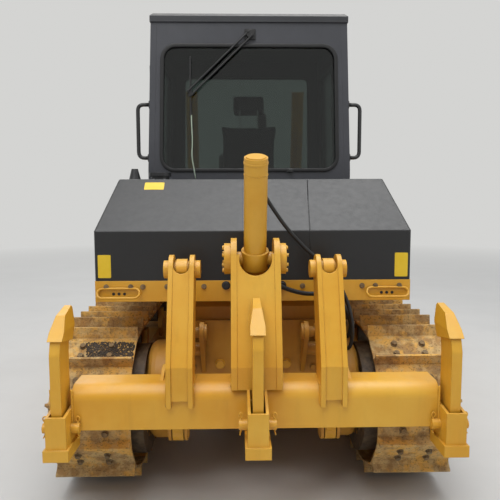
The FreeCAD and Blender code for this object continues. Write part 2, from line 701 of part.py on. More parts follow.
# Fuel tank and what carries it
def tank_outline(half_low, half_top):
    return [(TANK_REAR_Y, TANK_BOTTOM_Z), (TANK_REAR_Y, TANK_SHOULDER_Z), (TANK_TOP_REAR_Y, TANK_TOP_Z),
            (TANK_FRONT_Y, TANK_TOP_Z), (TANK_FRONT_Y, TANK_BOTTOM_Z)]


def fuel_tank():
    """Wide tank behind the cab, with a leaning upper face and cut-off shoulders."""
    w, top = TANK_HALF_WIDTH, TANK_TOP_HALF_WIDTH
    body = side_prism(tank_outline(w, top), -w, w)
    for side in (-1, 1):
        wedge = front_prism([(side * w, TANK_SHOULDER_Z), (side * top, TANK_TOP_Z), (side * (top + 200), TANK_TOP_Z + 60),
                             (side * (w + 200), TANK_SHOULDER_Z)], TANK_REAR_Y - 10, TANK_FRONT_Y + 10)
        body = body.cut(wedge)
    seen = [e for e in body.Edges if e.BoundBox.ZMax > TANK_SHOULDER_Z - 1 and e.BoundBox.YMin < TANK_FRONT_Y - 1]
    return fuse(body.makeFillet(TANK_EDGE_R, seen), *tank_caps())


def tank_caps():
    """Filler cap on its neck, and the breather cone beside it."""
    neck = Part.makeCylinder(62.0, 26, V(FILLER_X, FILLER_Y, TANK_TOP_Z - 1), Z_AXIS)
    cap = Part.makeCylinder(76.0, 26, V(FILLER_X, FILLER_Y, TANK_TOP_Z + 24), Z_AXIS)
    cone = Part.makeCone(42.0, 22.0, 78, V(BREATHER_X, FILLER_Y, TANK_TOP_Z - 1), Z_AXIS)
    return [neck, cap, cone]


BAR_SIDES = 12


def many_sided(place, along, radius):
    """Flat end of a thin round bar, drawn with a few sides to keep its bends light."""
    spoke = along.cross(Z_AXIS if abs(along.z) < abs(along.x) + abs(along.y) else X_AXIS).normalize()
    turn = FreeCAD.Rotation(along, 360.0 / BAR_SIDES)
    points = []
    for _ in range(BAR_SIDES):
        points.append(place + spoke * radius)
        spoke = turn.multVec(spoke)
    return Part.Face(Part.makePolygon(points + points[:1]))


def plate_rings():
    """Flat oval rings of round bar that stand out from the plate under the tank."""
    half, drop, out, r = RING_LENGTH / 2 - RING_HEIGHT / 2, RING_HEIGHT - RING_BAR, RING_OUT, RING_BAR / 2
    y, z = TANK_REAR_Y - r - RUN_GAP, TANK_BOTTOM_Z - 45
    lean = V(0, -out, -drop)
    centre = V(RING_X, y, z) + lean * 0.5
    across = V(half, 0, 0)
    turn = lean.Length / 2
    a, b = centre - across - lean * 0.5, centre + across - lean * 0.5
    c, d = centre + across + lean * 0.5, centre - across + lean * 0.5
    round_right = Part.Arc(b, centre + across + V(turn, 0, 0), c).toShape()
    round_left = Part.Arc(d, centre - across - V(turn, 0, 0), a).toShape()
    path = Part.Wire([Part.makeLine(a, b), round_right, Part.makeLine(c, d), round_left])
    return pair(path.makePipe(many_sided(a, X_AXIS, r)))


def tank_support():
    """Plate under the tank's rear edge, its shelf and the legs down to the case."""
    w = TANK_HALF_WIDTH
    z1 = TANK_BOTTOM_Z
    plate = box(-w, w, TANK_REAR_Y, TANK_REAR_Y + 25, z1 - SUPPORT_HEIGHT, z1)
    shelf = box(-w + 8, w - 8, TANK_REAR_Y + 24, TANK_FRONT_Y, z1 - 30, z1)
    legs = [box(s * 330 - 60, s * 330 + 60, CASE_REAR_Y + 80, TANK_FRONT_Y - 60, CASE_TOP_Z, z1 - 29) for s in (-1, 1)]
    return fuse(plate, shelf, *legs)


def fenders():
    """Deck plates over the tracks, with the boxes beside the cab and the steps in front."""
    front, inner = DOOR_FRONT_Y, FENDER_OUTER_X - STEP_WIDTH
    deck = box(CASE_HALF_WIDTH, FENDER_OUTER_X, TANK_FRONT_Y + 2, front, FENDER_Z, FENDER_Z + FENDER_SHEET)
    bin_box = box(CAB_HALF_WIDTH + 10, FENDER_OUTER_X - 20, TANK_FRONT_Y + 10, DOOR_REAR_Y - 30, FENDER_Z + FENDER_SHEET - 1,
                  DOOR_BOTTOM_Z - 14)
    drop = FENDER_Z - STEP_DROP
    step = box(inner, FENDER_OUTER_X, front - 1, front + STEP_LENGTH, drop, drop + FENDER_SHEET)
    riser = box(inner, FENDER_OUTER_X, front - FENDER_SHEET, front, drop, FENDER_Z + 1)
    return pair(fuse(deck, bin_box, step, riser))


# Cab
def cab_half(z):
    """Half width of the cab's outside at a height."""
    if z <= CAB_KNEE_Z:
        return CAB_HALF_WIDTH
    share = (z - CAB_KNEE_Z) / (CAB_EAVES_Z - CAB_KNEE_Z)
    return CAB_HALF_WIDTH + (CAB_TOP_HALF_WIDTH - CAB_HALF_WIDTH) * share


def cab_section(inset, z0, z1):
    """Outline of the cab seen from behind, drawn in by an inset."""
    xs = [(cab_half(z0) - inset, z0), (cab_half(CAB_KNEE_Z) - inset, CAB_KNEE_Z), (cab_half(z1) - inset, z1)]
    return xs + [(-x, z) for x, z in reversed(xs)]


def cab_floor():
    """Floor, the skirt below the side walls and the dash tower in front."""
    w = CAB_HALF_WIDTH - WALL
    floor = box(-w, w, CAB_REAR_Y + WALL, CAB_FRONT_Y - WALL, CAB_FLOOR_Z,
                CAB_FLOOR_Z + FLOOR_THICK)
    mounts = [box(s * 330 - 60, s * 330 + 60, CAB_REAR_Y + 100, CAB_FRONT_Y - 200, CASE_TOP_Z, CAB_FLOOR_Z + 1)
              for s in (-1, 1)]
    return fuse(floor, *mounts)


def side_wall():
    """Right-hand wall with the openings of the door and the quarter window."""
    outer = front_prism(cab_section(0, CAB_FLOOR_Z, CAB_EAVES_Z), CAB_REAR_Y, CAB_FRONT_Y)
    inner = front_prism(cab_section(WALL, CAB_FLOOR_Z - 1, CAB_EAVES_Z + 1), CAB_REAR_Y - 1, CAB_FRONT_Y + 1)
    half = box(0, 1000, CAB_REAR_Y - 2, CAB_FRONT_Y + 2, CAB_FLOOR_Z - 2, CAB_EAVES_Z + 2)
    return outer.cut(inner).common(half)


KNUCKLE_ZS = (DOOR_BOTTOM_Z + 140, CAB_KNEE_Z + 120, DOOR_TOP_Z - 200)
KNUCKLE_LENGTH = 90.0
KNUCKLE_R = 14.0


def wall_knuckles():
    """Fixed halves of the door hinges, just below the door's own knuckles."""
    solids = []
    for z in KNUCKLE_ZS:
        z0, z1 = z - RUN_GAP - KNUCKLE_LENGTH / 2, z - RUN_GAP
        x = CAB_HALF_WIDTH + HINGE_OUT
        solids.append(Part.makeCylinder(KNUCKLE_R, z1 - z0, V(x, DOOR_REAR_Y, z0), Z_AXIS))
        solids.append(box(cab_half(z1) - 10, x, DOOR_REAR_Y - 13, DOOR_REAR_Y - 7, z0, z1))
    return solids


def wall_with_openings():
    door = box(500, 900, DOOR_REAR_Y, DOOR_FRONT_Y, DOOR_BOTTOM_Z, DOOR_TOP_Z)
    quarter = box(500, 900, CAB_REAR_Y + 70, DOOR_REAR_Y - 70, CAB_KNEE_Z + 60, DOOR_TOP_Z - 40)
    return fuse(side_wall().cut([door, quarter]), *wall_knuckles())


def rounded_pane(half_low, half_top, z0, z1, radius, y0, y1):
    """Upright slab with round corners, wider at its foot."""
    slab = front_prism([(-half_low, z0), (half_low, z0), (half_top, z1), (-half_top, z1)], y0, y1)
    corners = [e for e in slab.Edges if abs(e.tangentAt(e.FirstParameter).y) > 0.9]
    return slab.makeFillet(radius, corners)


def end_wall(y0, y1, pane):
    wall = front_prism(cab_section(WALL, CAB_FLOOR_Z, CAB_EAVES_Z), y0, y1)
    return wall.cut(pane)


# Windows: half width below and above, foot, top, corner radius
REAR_PANE = (CAB_HALF_WIDTH - 98, CAB_TOP_HALF_WIDTH - 84, TANK_TOP_Z + 80, CAB_EAVES_Z - WINDOW_HEADER, 100.0)
FRONT_PANE = (CAB_HALF_WIDTH - 140, CAB_TOP_HALF_WIDTH - 122, CAB_FLOOR_Z + 440, CAB_EAVES_Z - WINDOW_HEADER + 25, 60.0)


def rear_wall():
    y = CAB_REAR_Y
    return end_wall(y, y + WALL, rounded_pane(*REAR_PANE, y - 1, y + WALL + 1))


def front_wall():
    y = CAB_FRONT_Y
    return end_wall(y - WALL, y, rounded_pane(*FRONT_PANE, y - WALL - 1, y + 1))


def pane_glass(pane, y):
    low, top, z0, z1, radius = pane
    return rounded_pane(low - RUN_GAP, top - RUN_GAP, z0 + RUN_GAP, z1 - RUN_GAP, radius - RUN_GAP, y, y + GLASS)


def cab_glass():
    """Rear window, windscreen and both quarter windows."""
    panes = [pane_glass(REAR_PANE, CAB_REAR_Y + 14), pane_glass(FRONT_PANE, CAB_FRONT_Y - 14 - GLASS)]
    band = front_prism(cab_section(18, CAB_KNEE_Z, CAB_EAVES_Z), CAB_REAR_Y, CAB_FRONT_Y)
    band = band.cut(front_prism(cab_section(18 + GLASS, CAB_KNEE_Z - 1, CAB_EAVES_Z + 1), CAB_REAR_Y - 1, CAB_FRONT_Y + 1))
    quarter = box(500, 900, CAB_REAR_Y + 70 + RUN_GAP, DOOR_REAR_Y - 70 - RUN_GAP, CAB_KNEE_Z + 60 + RUN_GAP,
                  DOOR_TOP_Z - 40 - RUN_GAP)
    right = band.common(quarter)
    return Part.makeCompound(panes + [right, mirrored(right)])


def cab_roof():
    w = CAB_TOP_HALF_WIDTH + 6
    roof = box(-w, w, CAB_REAR_Y - 12, CAB_FRONT_Y + 70, CAB_EAVES_Z, ROOF_TOP_Z)
    edges = [e for e in roof.Edges if e.BoundBox.ZMin > ROOF_TOP_Z - 1]
    return roof.makeChamfer(22.0, edges)


DOOR_GAP = 6.0
HINGE_OUT = 24.0


def door():
    """Right-hand door: the wall's own section, with one tall window and its hinge knuckles."""
    g = DOOR_GAP
    blank = box(500, 900, DOOR_REAR_Y + g, DOOR_FRONT_Y - g, DOOR_BOTTOM_Z + g, DOOR_TOP_Z - g)
    pane = box(500, 900, DOOR_REAR_Y + 80, DOOR_FRONT_Y - 80, DOOR_BOTTOM_Z + 330, DOOR_TOP_Z - 90)
    frame = side_wall().common(blank).cut(pane)
    x = CAB_HALF_WIDTH + HINGE_OUT
    knuckles = []
    for z in KNUCKLE_ZS:
        knuckles.append(Part.makeCylinder(KNUCKLE_R, KNUCKLE_LENGTH, V(x, DOOR_REAR_Y, z), Z_AXIS))
        knuckles.append(box(cab_half(z + 90) - 10, x, DOOR_REAR_Y + 7, DOOR_REAR_Y + 13, z, z + 90))
        knuckles.append(box(cab_half(z + 90) - 10, cab_half(z + 90) + 8, DOOR_REAR_Y + 7, DOOR_REAR_Y + 60, z, z + 90))
    return fuse(frame, *knuckles)


def door_glass():
    band = front_prism(cab_section(18, CAB_FLOOR_Z, CAB_EAVES_Z), CAB_REAR_Y, CAB_FRONT_Y)
    band = band.cut(front_prism(cab_section(18 + GLASS, CAB_FLOOR_Z - 1, CAB_EAVES_Z + 1), CAB_REAR_Y - 1, CAB_FRONT_Y + 1))
    g = RUN_GAP
    return band.common(box(500, 900, DOOR_REAR_Y + 80 + g, DOOR_FRONT_Y - 80 - g, DOOR_BOTTOM_Z + 330 + g, DOOR_TOP_Z - 90 - g))


def seat_base():
    """Sprung box under the seat and the pan on it."""
    z0 = CAB_FLOOR_Z + FLOOR_THICK
    foot = box(-200, 200, SEAT_Y + 10, SEAT_Y + 410, z0, z0 + SEAT_BASE_HEIGHT - 30)
    pan = box(-SEAT_HALF + 15, SEAT_HALF - 15, SEAT_Y - 10, SEAT_Y + 450, z0 + SEAT_BASE_HEIGHT - 31, z0 + SEAT_BASE_HEIGHT)
    return fuse(foot, pan)


def seat_cushions():
    """Squab, leaning back and head pad of the operator's seat."""
    z0 = CAB_FLOOR_Z + FLOOR_THICK + SEAT_BASE_HEIGHT
    y, w, top = SEAT_Y, SEAT_HALF, z0 + SQUAB_THICK - 50 + BACK_HEIGHT
    squab = box(-w, w, y, y + SEAT_LENGTH, z0, z0 + SQUAB_THICK)
    back = side_prism([(y - 30, z0 + 80), (y + 90, z0 + 100), (y + 10, top), (y - 80, top)], -w + 5, w - 5)
    head = side_prism([(y - 70, top + 40), (y + 10, top + 40), (y - 10, top + 230), (y - 80, top + 230)], -140, 140)
    posts = [box(x - 8, x + 8, y - 50, y - 34, top - 10, top + 50) for x in (-70, 70)]
    return fuse(squab, back, head, *posts)


def consoles():
    """Armrest boxes beside the seat, each with its control lever."""
    z0 = CAB_FLOOR_Z + FLOOR_THICK
    solids = []
    for side in (-1, 1):
        x, y, top = side * CONSOLE_X, SEAT_Y + 440, z0 + CONSOLE_HEIGHT
        tower = box(x - CONSOLE_HALF, x + CONSOLE_HALF, SEAT_Y + 30, SEAT_Y + SEAT_LENGTH, z0, top)
        stick = Part.makeCylinder(14.0, 170, V(x, y, top - 1), Z_AXIS)
        knob = Part.makeCone(18.0, 30.0, 62, V(x, y, top + 168), Z_AXIS)
        solids.append(fuse(tower, stick, knob))
    return Part.makeCompound(solids)


def dash():
    """Instrument tower under the windscreen."""
    z0, front = CAB_FLOOR_Z + FLOOR_THICK, CAB_FRONT_Y - WALL - 1
    rear = front - 154
    outline = [(rear, z0), (front, z0), (front, z0 + 560), (front - 74, z0 + 600), (rear, z0 + 480)]
    return side_prism(outline, -DASH_HALF, DASH_HALF)


RAIL_OUT = 75.0


def handrails():
    """Grab rails at the cab's rear corners."""
    x, y, z0, z1, r = CAB_HALF_WIDTH + RAIL_OUT, CAB_REAR_Y + 40, CAB_KNEE_Z + 94, CAB_KNEE_Z + 488, 15.0
    bar = rod(V(x, y, z0), V(x, y, z1), r)
    ends = [rod(V(cab_half(z - r) + RUN_GAP, y, z), V(x, y, z), r) for z in (z0, z1)]
    balls = [Part.makeSphere(r, V(x, y, z)) for z in (z0, z1)]
    return pair(fuse(bar, *ends, *balls))


# Blade, arms and lift cylinders
def arc_face(y, z0, z1, bulge):
    """Arc from (y, z0) to (y, z1), bulging backwards."""
    middle = V(-BLADE_WIDTH / 2, y - bulge, (z0 + z1) / 2)
    return Part.Arc(V(-BLADE_WIDTH / 2, y, z0), middle, V(-BLADE_WIDTH / 2, y, z1)).toShape()


BLADE_FOOT_Z = EDGE_CLEAR + 175.0
BLADE_TOP_Z = EDGE_CLEAR + BLADE_HEIGHT
BLADE_FACE_Y = EDGE_Y - 100.0
BLADE_BULGE = BLADE_FACE_R - math.sqrt(BLADE_FACE_R ** 2 - ((BLADE_TOP_Z - BLADE_FOOT_Z) / 2) ** 2)


BLADE_BACK_Y = BLADE_FACE_Y - BLADE_BULGE - 170.0     # rear of the lower box member
RIB_THICK = 20.0
RIB_XS = (-BLADE_WIDTH / 2, -1010.0, -500.0, 480.0, 990.0, BLADE_WIDTH / 2 - RIB_THICK)
TOP_BOX = (210.0, 150.0)        # depth and height of the upper box member
LOW_BOX_HEIGHT = 240.0


def moldboard():
    """Curved face plate with its box members and ribs behind."""
    y, z0, z1, t = BLADE_FACE_Y, BLADE_FOOT_Z, BLADE_TOP_Z, BLADE_SKIN
    front = arc_face(y, z0, z1, BLADE_BULGE)
    back = arc_face(y - t, z0, z1, BLADE_BULGE)
    x = -BLADE_WIDTH / 2
    low = Part.makeLine(V(x, y - t, z0), V(x, y, z0))
    top = Part.makeLine(V(x, y, z1), V(x, y - t, z1))
    skin = Part.Face(Part.Wire([low, front, top, Part.Wire([back]).Edges[0]])).extrude(V(BLADE_WIDTH, 0, 0))
    rear = BLADE_BACK_Y
    hollow = Part.Face(Part.Wire([front, Part.makeLine(V(x, y, z1), V(x, y + 400, z1)),
                                  Part.makeLine(V(x, y + 400, z1), V(x, y + 400, z0)),
                                  Part.makeLine(V(x, y + 400, z0), V(x, y, z0))])).extrude(V(BLADE_WIDTH, 0, 0))
    half = BLADE_WIDTH / 2
    boxes = [box(-half, half, y - TOP_BOX[0], y, z1 - 20 - TOP_BOX[1], z1 - 20),
             box(-half, half, rear, y - 20, z0 + 20, z0 + 20 + LOW_BOX_HEIGHT)]
    outline = [(y - 20, z0), (rear + 10, z0 + 60), (y - TOP_BOX[0] + 10, z1 - 60), (y, z1)]
    ribs = [side_prism(outline, x, x + RIB_THICK) for x in RIB_XS]
    return fuse(skin, *boxes, *ribs).cut(hollow)


EDGE_LEAN = math.radians(57)
END_BIT_WIDTH = 300.0
END_BIT_EXTRA = 60.0        # the end bits reach higher than the edge between them


def edge_outline(height):
    """Section of a leaning edge plate that stands on the blade's foot line."""
    y, z = EDGE_Y, EDGE_CLEAR
    run, rise = height * math.cos(EDGE_LEAN), height * math.sin(EDGE_LEAN)
    ty, tz = EDGE_THICK * math.sin(EDGE_LEAN), EDGE_THICK * math.cos(EDGE_LEAN)
    return [(y, z), (y - run, z + rise), (y - run - ty, z + rise - tz), (y - ty, z)]


def cutting_edge(blade):
    """Bolted-on edge along the blade's foot."""
    half = BLADE_WIDTH / 2 - END_BIT_WIDTH
    return side_prism(edge_outline(EDGE_HEIGHT), -half, half).cut(blade)


def end_bits(blade):
    outline = edge_outline(EDGE_HEIGHT + END_BIT_EXTRA)
    return pair(side_prism(outline, BLADE_WIDTH / 2 - END_BIT_WIDTH + RUN_GAP, BLADE_WIDTH / 2).cut(blade))


TRUNNION_R = 55.0
ARM_FRONT_Z = (220.0, 440.0)    # foot and top of an arm where it meets the blade
BRACE_FOOT_Y = 2650.0
BRACE_RISE = 70.0               # the brace's pin above the arm
BRACE_R = 42.0
BRACE_SLEEVE_R = 60.0
BRACE_EYE_HALF = 23.0


def push_arms():
    """Box arms outside the tracks, from the trunnions to the blade's foot."""
    x0, x1 = ARM_INNER_X, ARM_INNER_X + ARM_WIDTH
    rear = BLADE_BACK_Y - RUN_GAP
    d = ARM_DEPTH / 2
    foot, top = ARM_FRONT_Z
    beam = side_prism([(TRUNNION_Y, TRUNNION_Z - d), (rear, foot), (rear, top), (rear - 300, TRUNNION_Z + d),
                       (TRUNNION_Y, TRUNNION_Z + d)], x0, x1)
    eye = bar_x(x0, x1, TRUNNION_Y, TRUNNION_Z, d)
    bore = bar_x(x0 - 1, x1 + 1, TRUNNION_Y, TRUNNION_Z, TRUNNION_R + RUN_GAP)
    y, z, tip = BRACE_FOOT_Y, TRUNNION_Z + d, TRUNNION_Z + d + BRACE_RISE + 40
    lug = side_prism([(y - 100, z - 5), (y + 100, z - 5), (y + 40, tip), (y - 40, tip)], x0 + 40, x1 - 40)
    return pair(fuse(beam, eye, lug).cut(bore))


def braces():
    """Struts from the arms up to the blade's top."""
    x = ARM_INNER_X + ARM_WIDTH / 2
    foot = V(x, BRACE_FOOT_Y, TRUNNION_Z + ARM_DEPTH / 2 + BRACE_RISE)
    head = V(x, BLADE_FACE_Y - 230, BLADE_TOP_Z - 100)
    along = (head - foot).normalize()
    bar = rod(foot, head, BRACE_R)
    sleeve = rod(foot + along * 350, foot + along * 800, BRACE_SLEEVE_R)
    inner, outer, reach = BRACE_EYE_HALF, BRACE_EYE_HALF + 25, BRACE_SLEEVE_R + 20
    forks = []
    for side in (-1, 1):
        a, b = sorted((x + side * inner, x + side * outer))
        forks.append(bar_x(a, b, foot.y, foot.z, BRACE_SLEEVE_R))
    neck = box(x - outer, x + outer, foot.y + 52, foot.y + 100, foot.z - 5, foot.z + BRACE_RISE)
    gap = bar_x(x - inner + 0.2, x + inner - 0.2, foot.y, foot.z, reach)
    clear = bar_x(x - outer - 12, x + outer + 12, foot.y, foot.z, reach)
    return pair(fuse(fuse(bar, sleeve).cut(clear), *forks, neck.cut(gap)))


LIFT_EYE_HALF = 45.0
LIFT_WALL = 13.0


def lift_axis():
    pivot = V(LIFT_X, LIFT_PIVOT_Y, LIFT_PIVOT_Z)
    eye = V(LIFT_X, LIFT_EYE_Y, LIFT_EYE_Z)
    return pivot, eye, (eye - pivot).normalize()


def lift_barrel():
    pivot, eye, along = lift_axis()
    tube = rod(pivot - along * LIFT_TAIL, pivot + along * LIFT_NOSE, LIFT_BARREL_R)
    bore = rod(pivot - along * (LIFT_TAIL - 60), pivot + along * (LIFT_NOSE - 40), LIFT_BARREL_R - LIFT_WALL)
    mouth = rod(pivot, pivot + along * (LIFT_NOSE + 5), LIFT_ROD_R + RUN_GAP)
    collar = rod(pivot - along * 60, pivot + along * 60, LIFT_BARREL_R + 18)
    pin = bar_x(GUARD_HALF_WIDTH - GUARD_RIM + 10, LIFT_X, LIFT_PIVOT_Y, LIFT_PIVOT_Z, LIFT_PIN_R)
    return fuse(tube, collar, pin).cut([bore, mouth])


def lift_rod():
    pivot, eye, along = lift_axis()
    inside = eye - along * LIFT_ROD_LENGTH
    stem = rod(inside + along * 40, eye, LIFT_ROD_R)
    piston = rod(inside, inside + along * 60, LIFT_BARREL_R - LIFT_WALL - RUN_GAP)
    head = bar_x(LIFT_X - LIFT_EYE_HALF, LIFT_X + LIFT_EYE_HALF, eye.y, eye.z, LIFT_EYE_R)
    return fuse(stem, piston, head)


def lift_brackets(blade):
    """Forks on the blade's back that hold the lift rods' eyes."""
    foot = BLADE_BACK_Y + 60
    inner = LIFT_EYE_HALF + EYE_SIDE_GAP
    solids = []
    for x in (-LIFT_X, LIFT_X):
        plates = []
        for side in (-1, 1):
            a, b = sorted((x + side * inner, x + side * (inner + FORK_PLATE)))
            chain = [(foot, BLADE_FOOT_Z + 60), (foot, LIFT_EYE_Z + 130)]
            plates.append(eared_plate(chain, (LIFT_EYE_Y, LIFT_EYE_Z), LIFT_EYE_R + 8, a, b))
        bosses = pin_bosses(x, inner + FORK_PLATE, LIFT_EYE_Y, LIFT_EYE_Z, BOSS_R, 16.0)
        pad = box(x - inner - 20, x + inner + 20, BLADE_BACK_Y - 12, foot, BLADE_FOOT_Z + 70, BLADE_FOOT_Z + 250)
        solids.append(fuse(pad, *plates, *bosses).cut(blade))
    return Part.makeCompound(solids)


# Ripper
CROSS_TUBE_R = 46.0
EAR_PLATE = 26.0
ROD_EYE_HALF = 44.0
ROD_EYE_R = 50.0


def fork(x, half, chain, centre, radius, thick=EAR_PLATE):
    """Two eared plates that stand outside a piece 2 half wide."""
    plates = []
    for side in (-1, 1):
        a, b = sorted((x + side * half, x + side * (half + thick)))
        plates.append(eared_plate(chain, centre, radius, a, b))
    return plates


def ripper_bracket():
    """Plate on the back of the case, with forks for both pairs of links and for the cylinder's rod."""
    rear = CASE_REAR_Y - 40
    half = CASE_HALF_WIDTH - 2
    arm_half, link_half = ARM_HALF + EYE_SIDE_GAP, COLUMN_HALF + EYE_SIDE_GAP
    plate = box(-half, half, rear, CASE_REAR_Y, CASE_BOTTOM_Z + 10, CASE_TOP_Z - 140)
    recess = ROD_EYE_HALF + EYE_SIDE_GAP
    plate = plate.cut(box(-recess, recess, rear - 1, CASE_REAR_Y + 1, RIPPER_EYE_Z - 150, RIPPER_EYE_Z + 150))
    low, high = (UPPER_PIN_Y, LOWER_PIN_Z), (UPPER_PIN_Y, UPPER_PIN_Z)
    low_tube, high_tube = (UPPER_PIN_Y + 80, LOWER_PIN_Z + 140), (UPPER_PIN_Y + 105, UPPER_PIN_Z - 130)
    solids = []
    for side in (-1, 1):
        x = side * LOWER_X
        chain = [(low_tube[0] + 44, low_tube[1] - 10), (low_tube[0] + 30, low_tube[1] + 40), (low_tube[0] - 20, low_tube[1] + 42)]
        solids += fork(x, arm_half, chain, low, ARM_EYE_R, ARM_PLATE)
        solids += pin_bosses(x, arm_half + ARM_PLATE, *low, BOSS_R, 6.0)
        solids.append(bar_x(x - arm_half - 1, x + arm_half + 1, *low, ARM_PIN_R))
        ends = sorted((side * (CASE_HALF_WIDTH - 140), side * (LOWER_X + arm_half + 20)))
        solids.append(bar_x(*ends, *low_tube, CROSS_TUBE_R))
        x = side * COLUMN_X
        chain = [(high_tube[0] - 15, high_tube[1] - 38), (high_tube[0] + 38, high_tube[1] - 5), (high_tube[0] + 30, high_tube[1] + 30)]
        solids += fork(x, link_half, chain, high, LINK_EYE_R + 4)
        solids += pin_bosses(x, link_half + EAR_PLATE, *high, BOSS_R, 16.0)
        solids.append(bar_x(x - link_half - 1, x + link_half + 1, *high, LINK_PIN_R))
        ends = sorted((side * (COLUMN_X - link_half - 20), side * (COLUMN_X + link_half + 20)))
        solids.append(bar_x(*ends, *high_tube, CROSS_TUBE_R - 6))
        web = COLUMN_X - link_half - EAR_PLATE
        ends = sorted((side * web, side * (web + EAR_PLATE)))
        solids.append(eared_plate([(rear + 1, UPPER_PIN_Z - 300), (rear + 1, UPPER_PIN_Z + 20)], high, LINK_EYE_R + 4, *ends))
        ends = sorted((side * (half - 138), side * (half - 112)))
        solids.append(eared_plate([(rear + 1, LOWER_PIN_Z - 30), (rear + 1, LOWER_PIN_Z + 280)], low_tube, CROSS_TUBE_R, *ends))
    chain = [(rear + 1, RIPPER_EYE_Z - 80), (rear + 1, RIPPER_EYE_Z + 190)]
    solids += fork(0.0, recess, chain, (RIPPER_EYE_Y, RIPPER_EYE_Z), ROD_EYE_R)
    solids += pin_bosses(0.0, recess + EAR_PLATE, RIPPER_EYE_Y, RIPPER_EYE_Z, BOSS_R - 8, 14.0)
    return fuse(plate, *solids)


def lower_arms():
    arms = []
    for x in (-LOWER_X, LOWER_X):
        start, end = V(x, UPPER_PIN_Y, LOWER_PIN_Z), V(x, LINK_TOP_Y, ARM_TOP_Z)
        bar = link_bar(start, end, ARM_EYE_R, ARM_HALF, ARM_HALF - 5, 108.0)
        bores = [bar_x(x - ARM_HALF - 1, x + ARM_HALF + 1, p.y, p.z, ARM_PIN_R + PIN_GAP) for p in (start, end)]
        arms.append(bar.cut(bores))
    return Part.makeCompound(arms)


def upper_links():
    links = []
    half = COLUMN_HALF - COLUMN_PLATE - LINK_SIDE_GAP
    for x in (-COLUMN_X, COLUMN_X):
        start, end = V(x, UPPER_PIN_Y, UPPER_PIN_Z), V(x, LINK_TOP_Y, LINK_TOP_Z)
        bar = link_bar(start, end, LINK_EYE_R, half - 8, half - 8, 84.0)
        collars = [bar_x(x - half, x + half, p.y, p.z, LINK_PIN_R + 14) for p in (start, end)]
        bores = [bar_x(x - half - 1, x + half + 1, p.y, p.z, LINK_PIN_R + PIN_GAP) for p in (start, end)]
        links.append(fuse(bar, *collars).cut(bores))
    return Part.makeCompound(links)


def pocket_inner():
    return SHANK_THICK / 2 + POCKET_GAP


def beam():
    """Cross beam with a round upper rear edge, hollowed for the arms' eyes, and the arms' forks."""
    half = SHANK_X - pocket_inner() - POCKET_PLATE + 1
    body = box(-half, half, BEAM_REAR_Y, BEAM_FRONT_Y, BEAM_BOTTOM_Z, BEAM_TOP_Z)
    edge = [e for e in body.Edges if e.BoundBox.YMax < BEAM_REAR_Y + 1 and e.BoundBox.ZMin > BEAM_TOP_Z - 1]
    body = body.makeFillet(BEAM_ROUND, edge)
    forks, hollows = [], []
    inner = ARM_HALF + EYE_SIDE_GAP
    chain = [(BEAM_FRONT_Y - 5, BEAM_TOP_Z - 130), (BEAM_FRONT_Y - 110, BEAM_TOP_Z - 1)]
    for x in (-LOWER_X, LOWER_X):
        forks += fork(x, inner, chain, (LINK_TOP_Y, ARM_TOP_Z), ARM_EYE_R, ARM_PLATE)
        forks += pin_bosses(x, inner + ARM_PLATE, LINK_TOP_Y, ARM_TOP_Z, BOSS_R, 6.0)
        forks.append(bar_x(x - inner - 1, x + inner + 1, LINK_TOP_Y, ARM_TOP_Z, ARM_PIN_R))
        hollows.append(bar_x(x - inner, x + inner, LINK_TOP_Y, ARM_TOP_Z, ARM_EYE_R + 12))
    return fuse(body.cut(hollows), *forks)


def side_column(x, blank):
    """Two plates with round ears, a recessed rear plate with a hollow top edge, and the pin's bosses."""
    rear, inner = COLUMN_REAR_Y, COLUMN_HALF - COLUMN_PLATE
    top = (LINK_TOP_Y, LINK_TOP_Z)
    chain = [(BEAM_FRONT_Y - 55, BEAM_TOP_Z + 40), (BEAM_FRONT_Y - 55, BEAM_TOP_Z - 1), (BEAM_REAR_Y + 1, COLUMN_FOOT_Z),
             (rear, COLUMN_FOOT_Z), (rear, KNEE_Z)]
    plates = []
    for side in (-1, 1):
        a, b = sorted((x + side * inner, x + side * COLUMN_HALF))
        plates.append(eared_plate(chain, top, COLUMN_EAR_R, a, b))
    head = tangent_point((rear, KNEE_Z), chain[0], top, COLUMN_EAR_R)
    foot = COLUMN_FOOT_Z + SKIN_FOOT_RISE
    skin = side_prism([(rear + 8, foot), (rear + 8, KNEE_Z), (head[0] + 4, head[1]), (head[0] + 22, head[1]),
                       (rear + 30, KNEE_Z - 4), (rear + 30, foot)], x - inner - 1, x + inner + 1)
    hollow = Part.makeCylinder(inner, 300, V(x, head[0] - 150, head[1]), Y_AXIS)
    pin = bar_x(x - inner - 1, x + inner + 1, *top, LINK_PIN_R)
    bosses = pin_bosses(x, COLUMN_HALF, *top, BOSS_R, BOSS_LENGTH)
    return fuse(*plates, skin.cut(hollow), pin, *bosses).cut(blank)


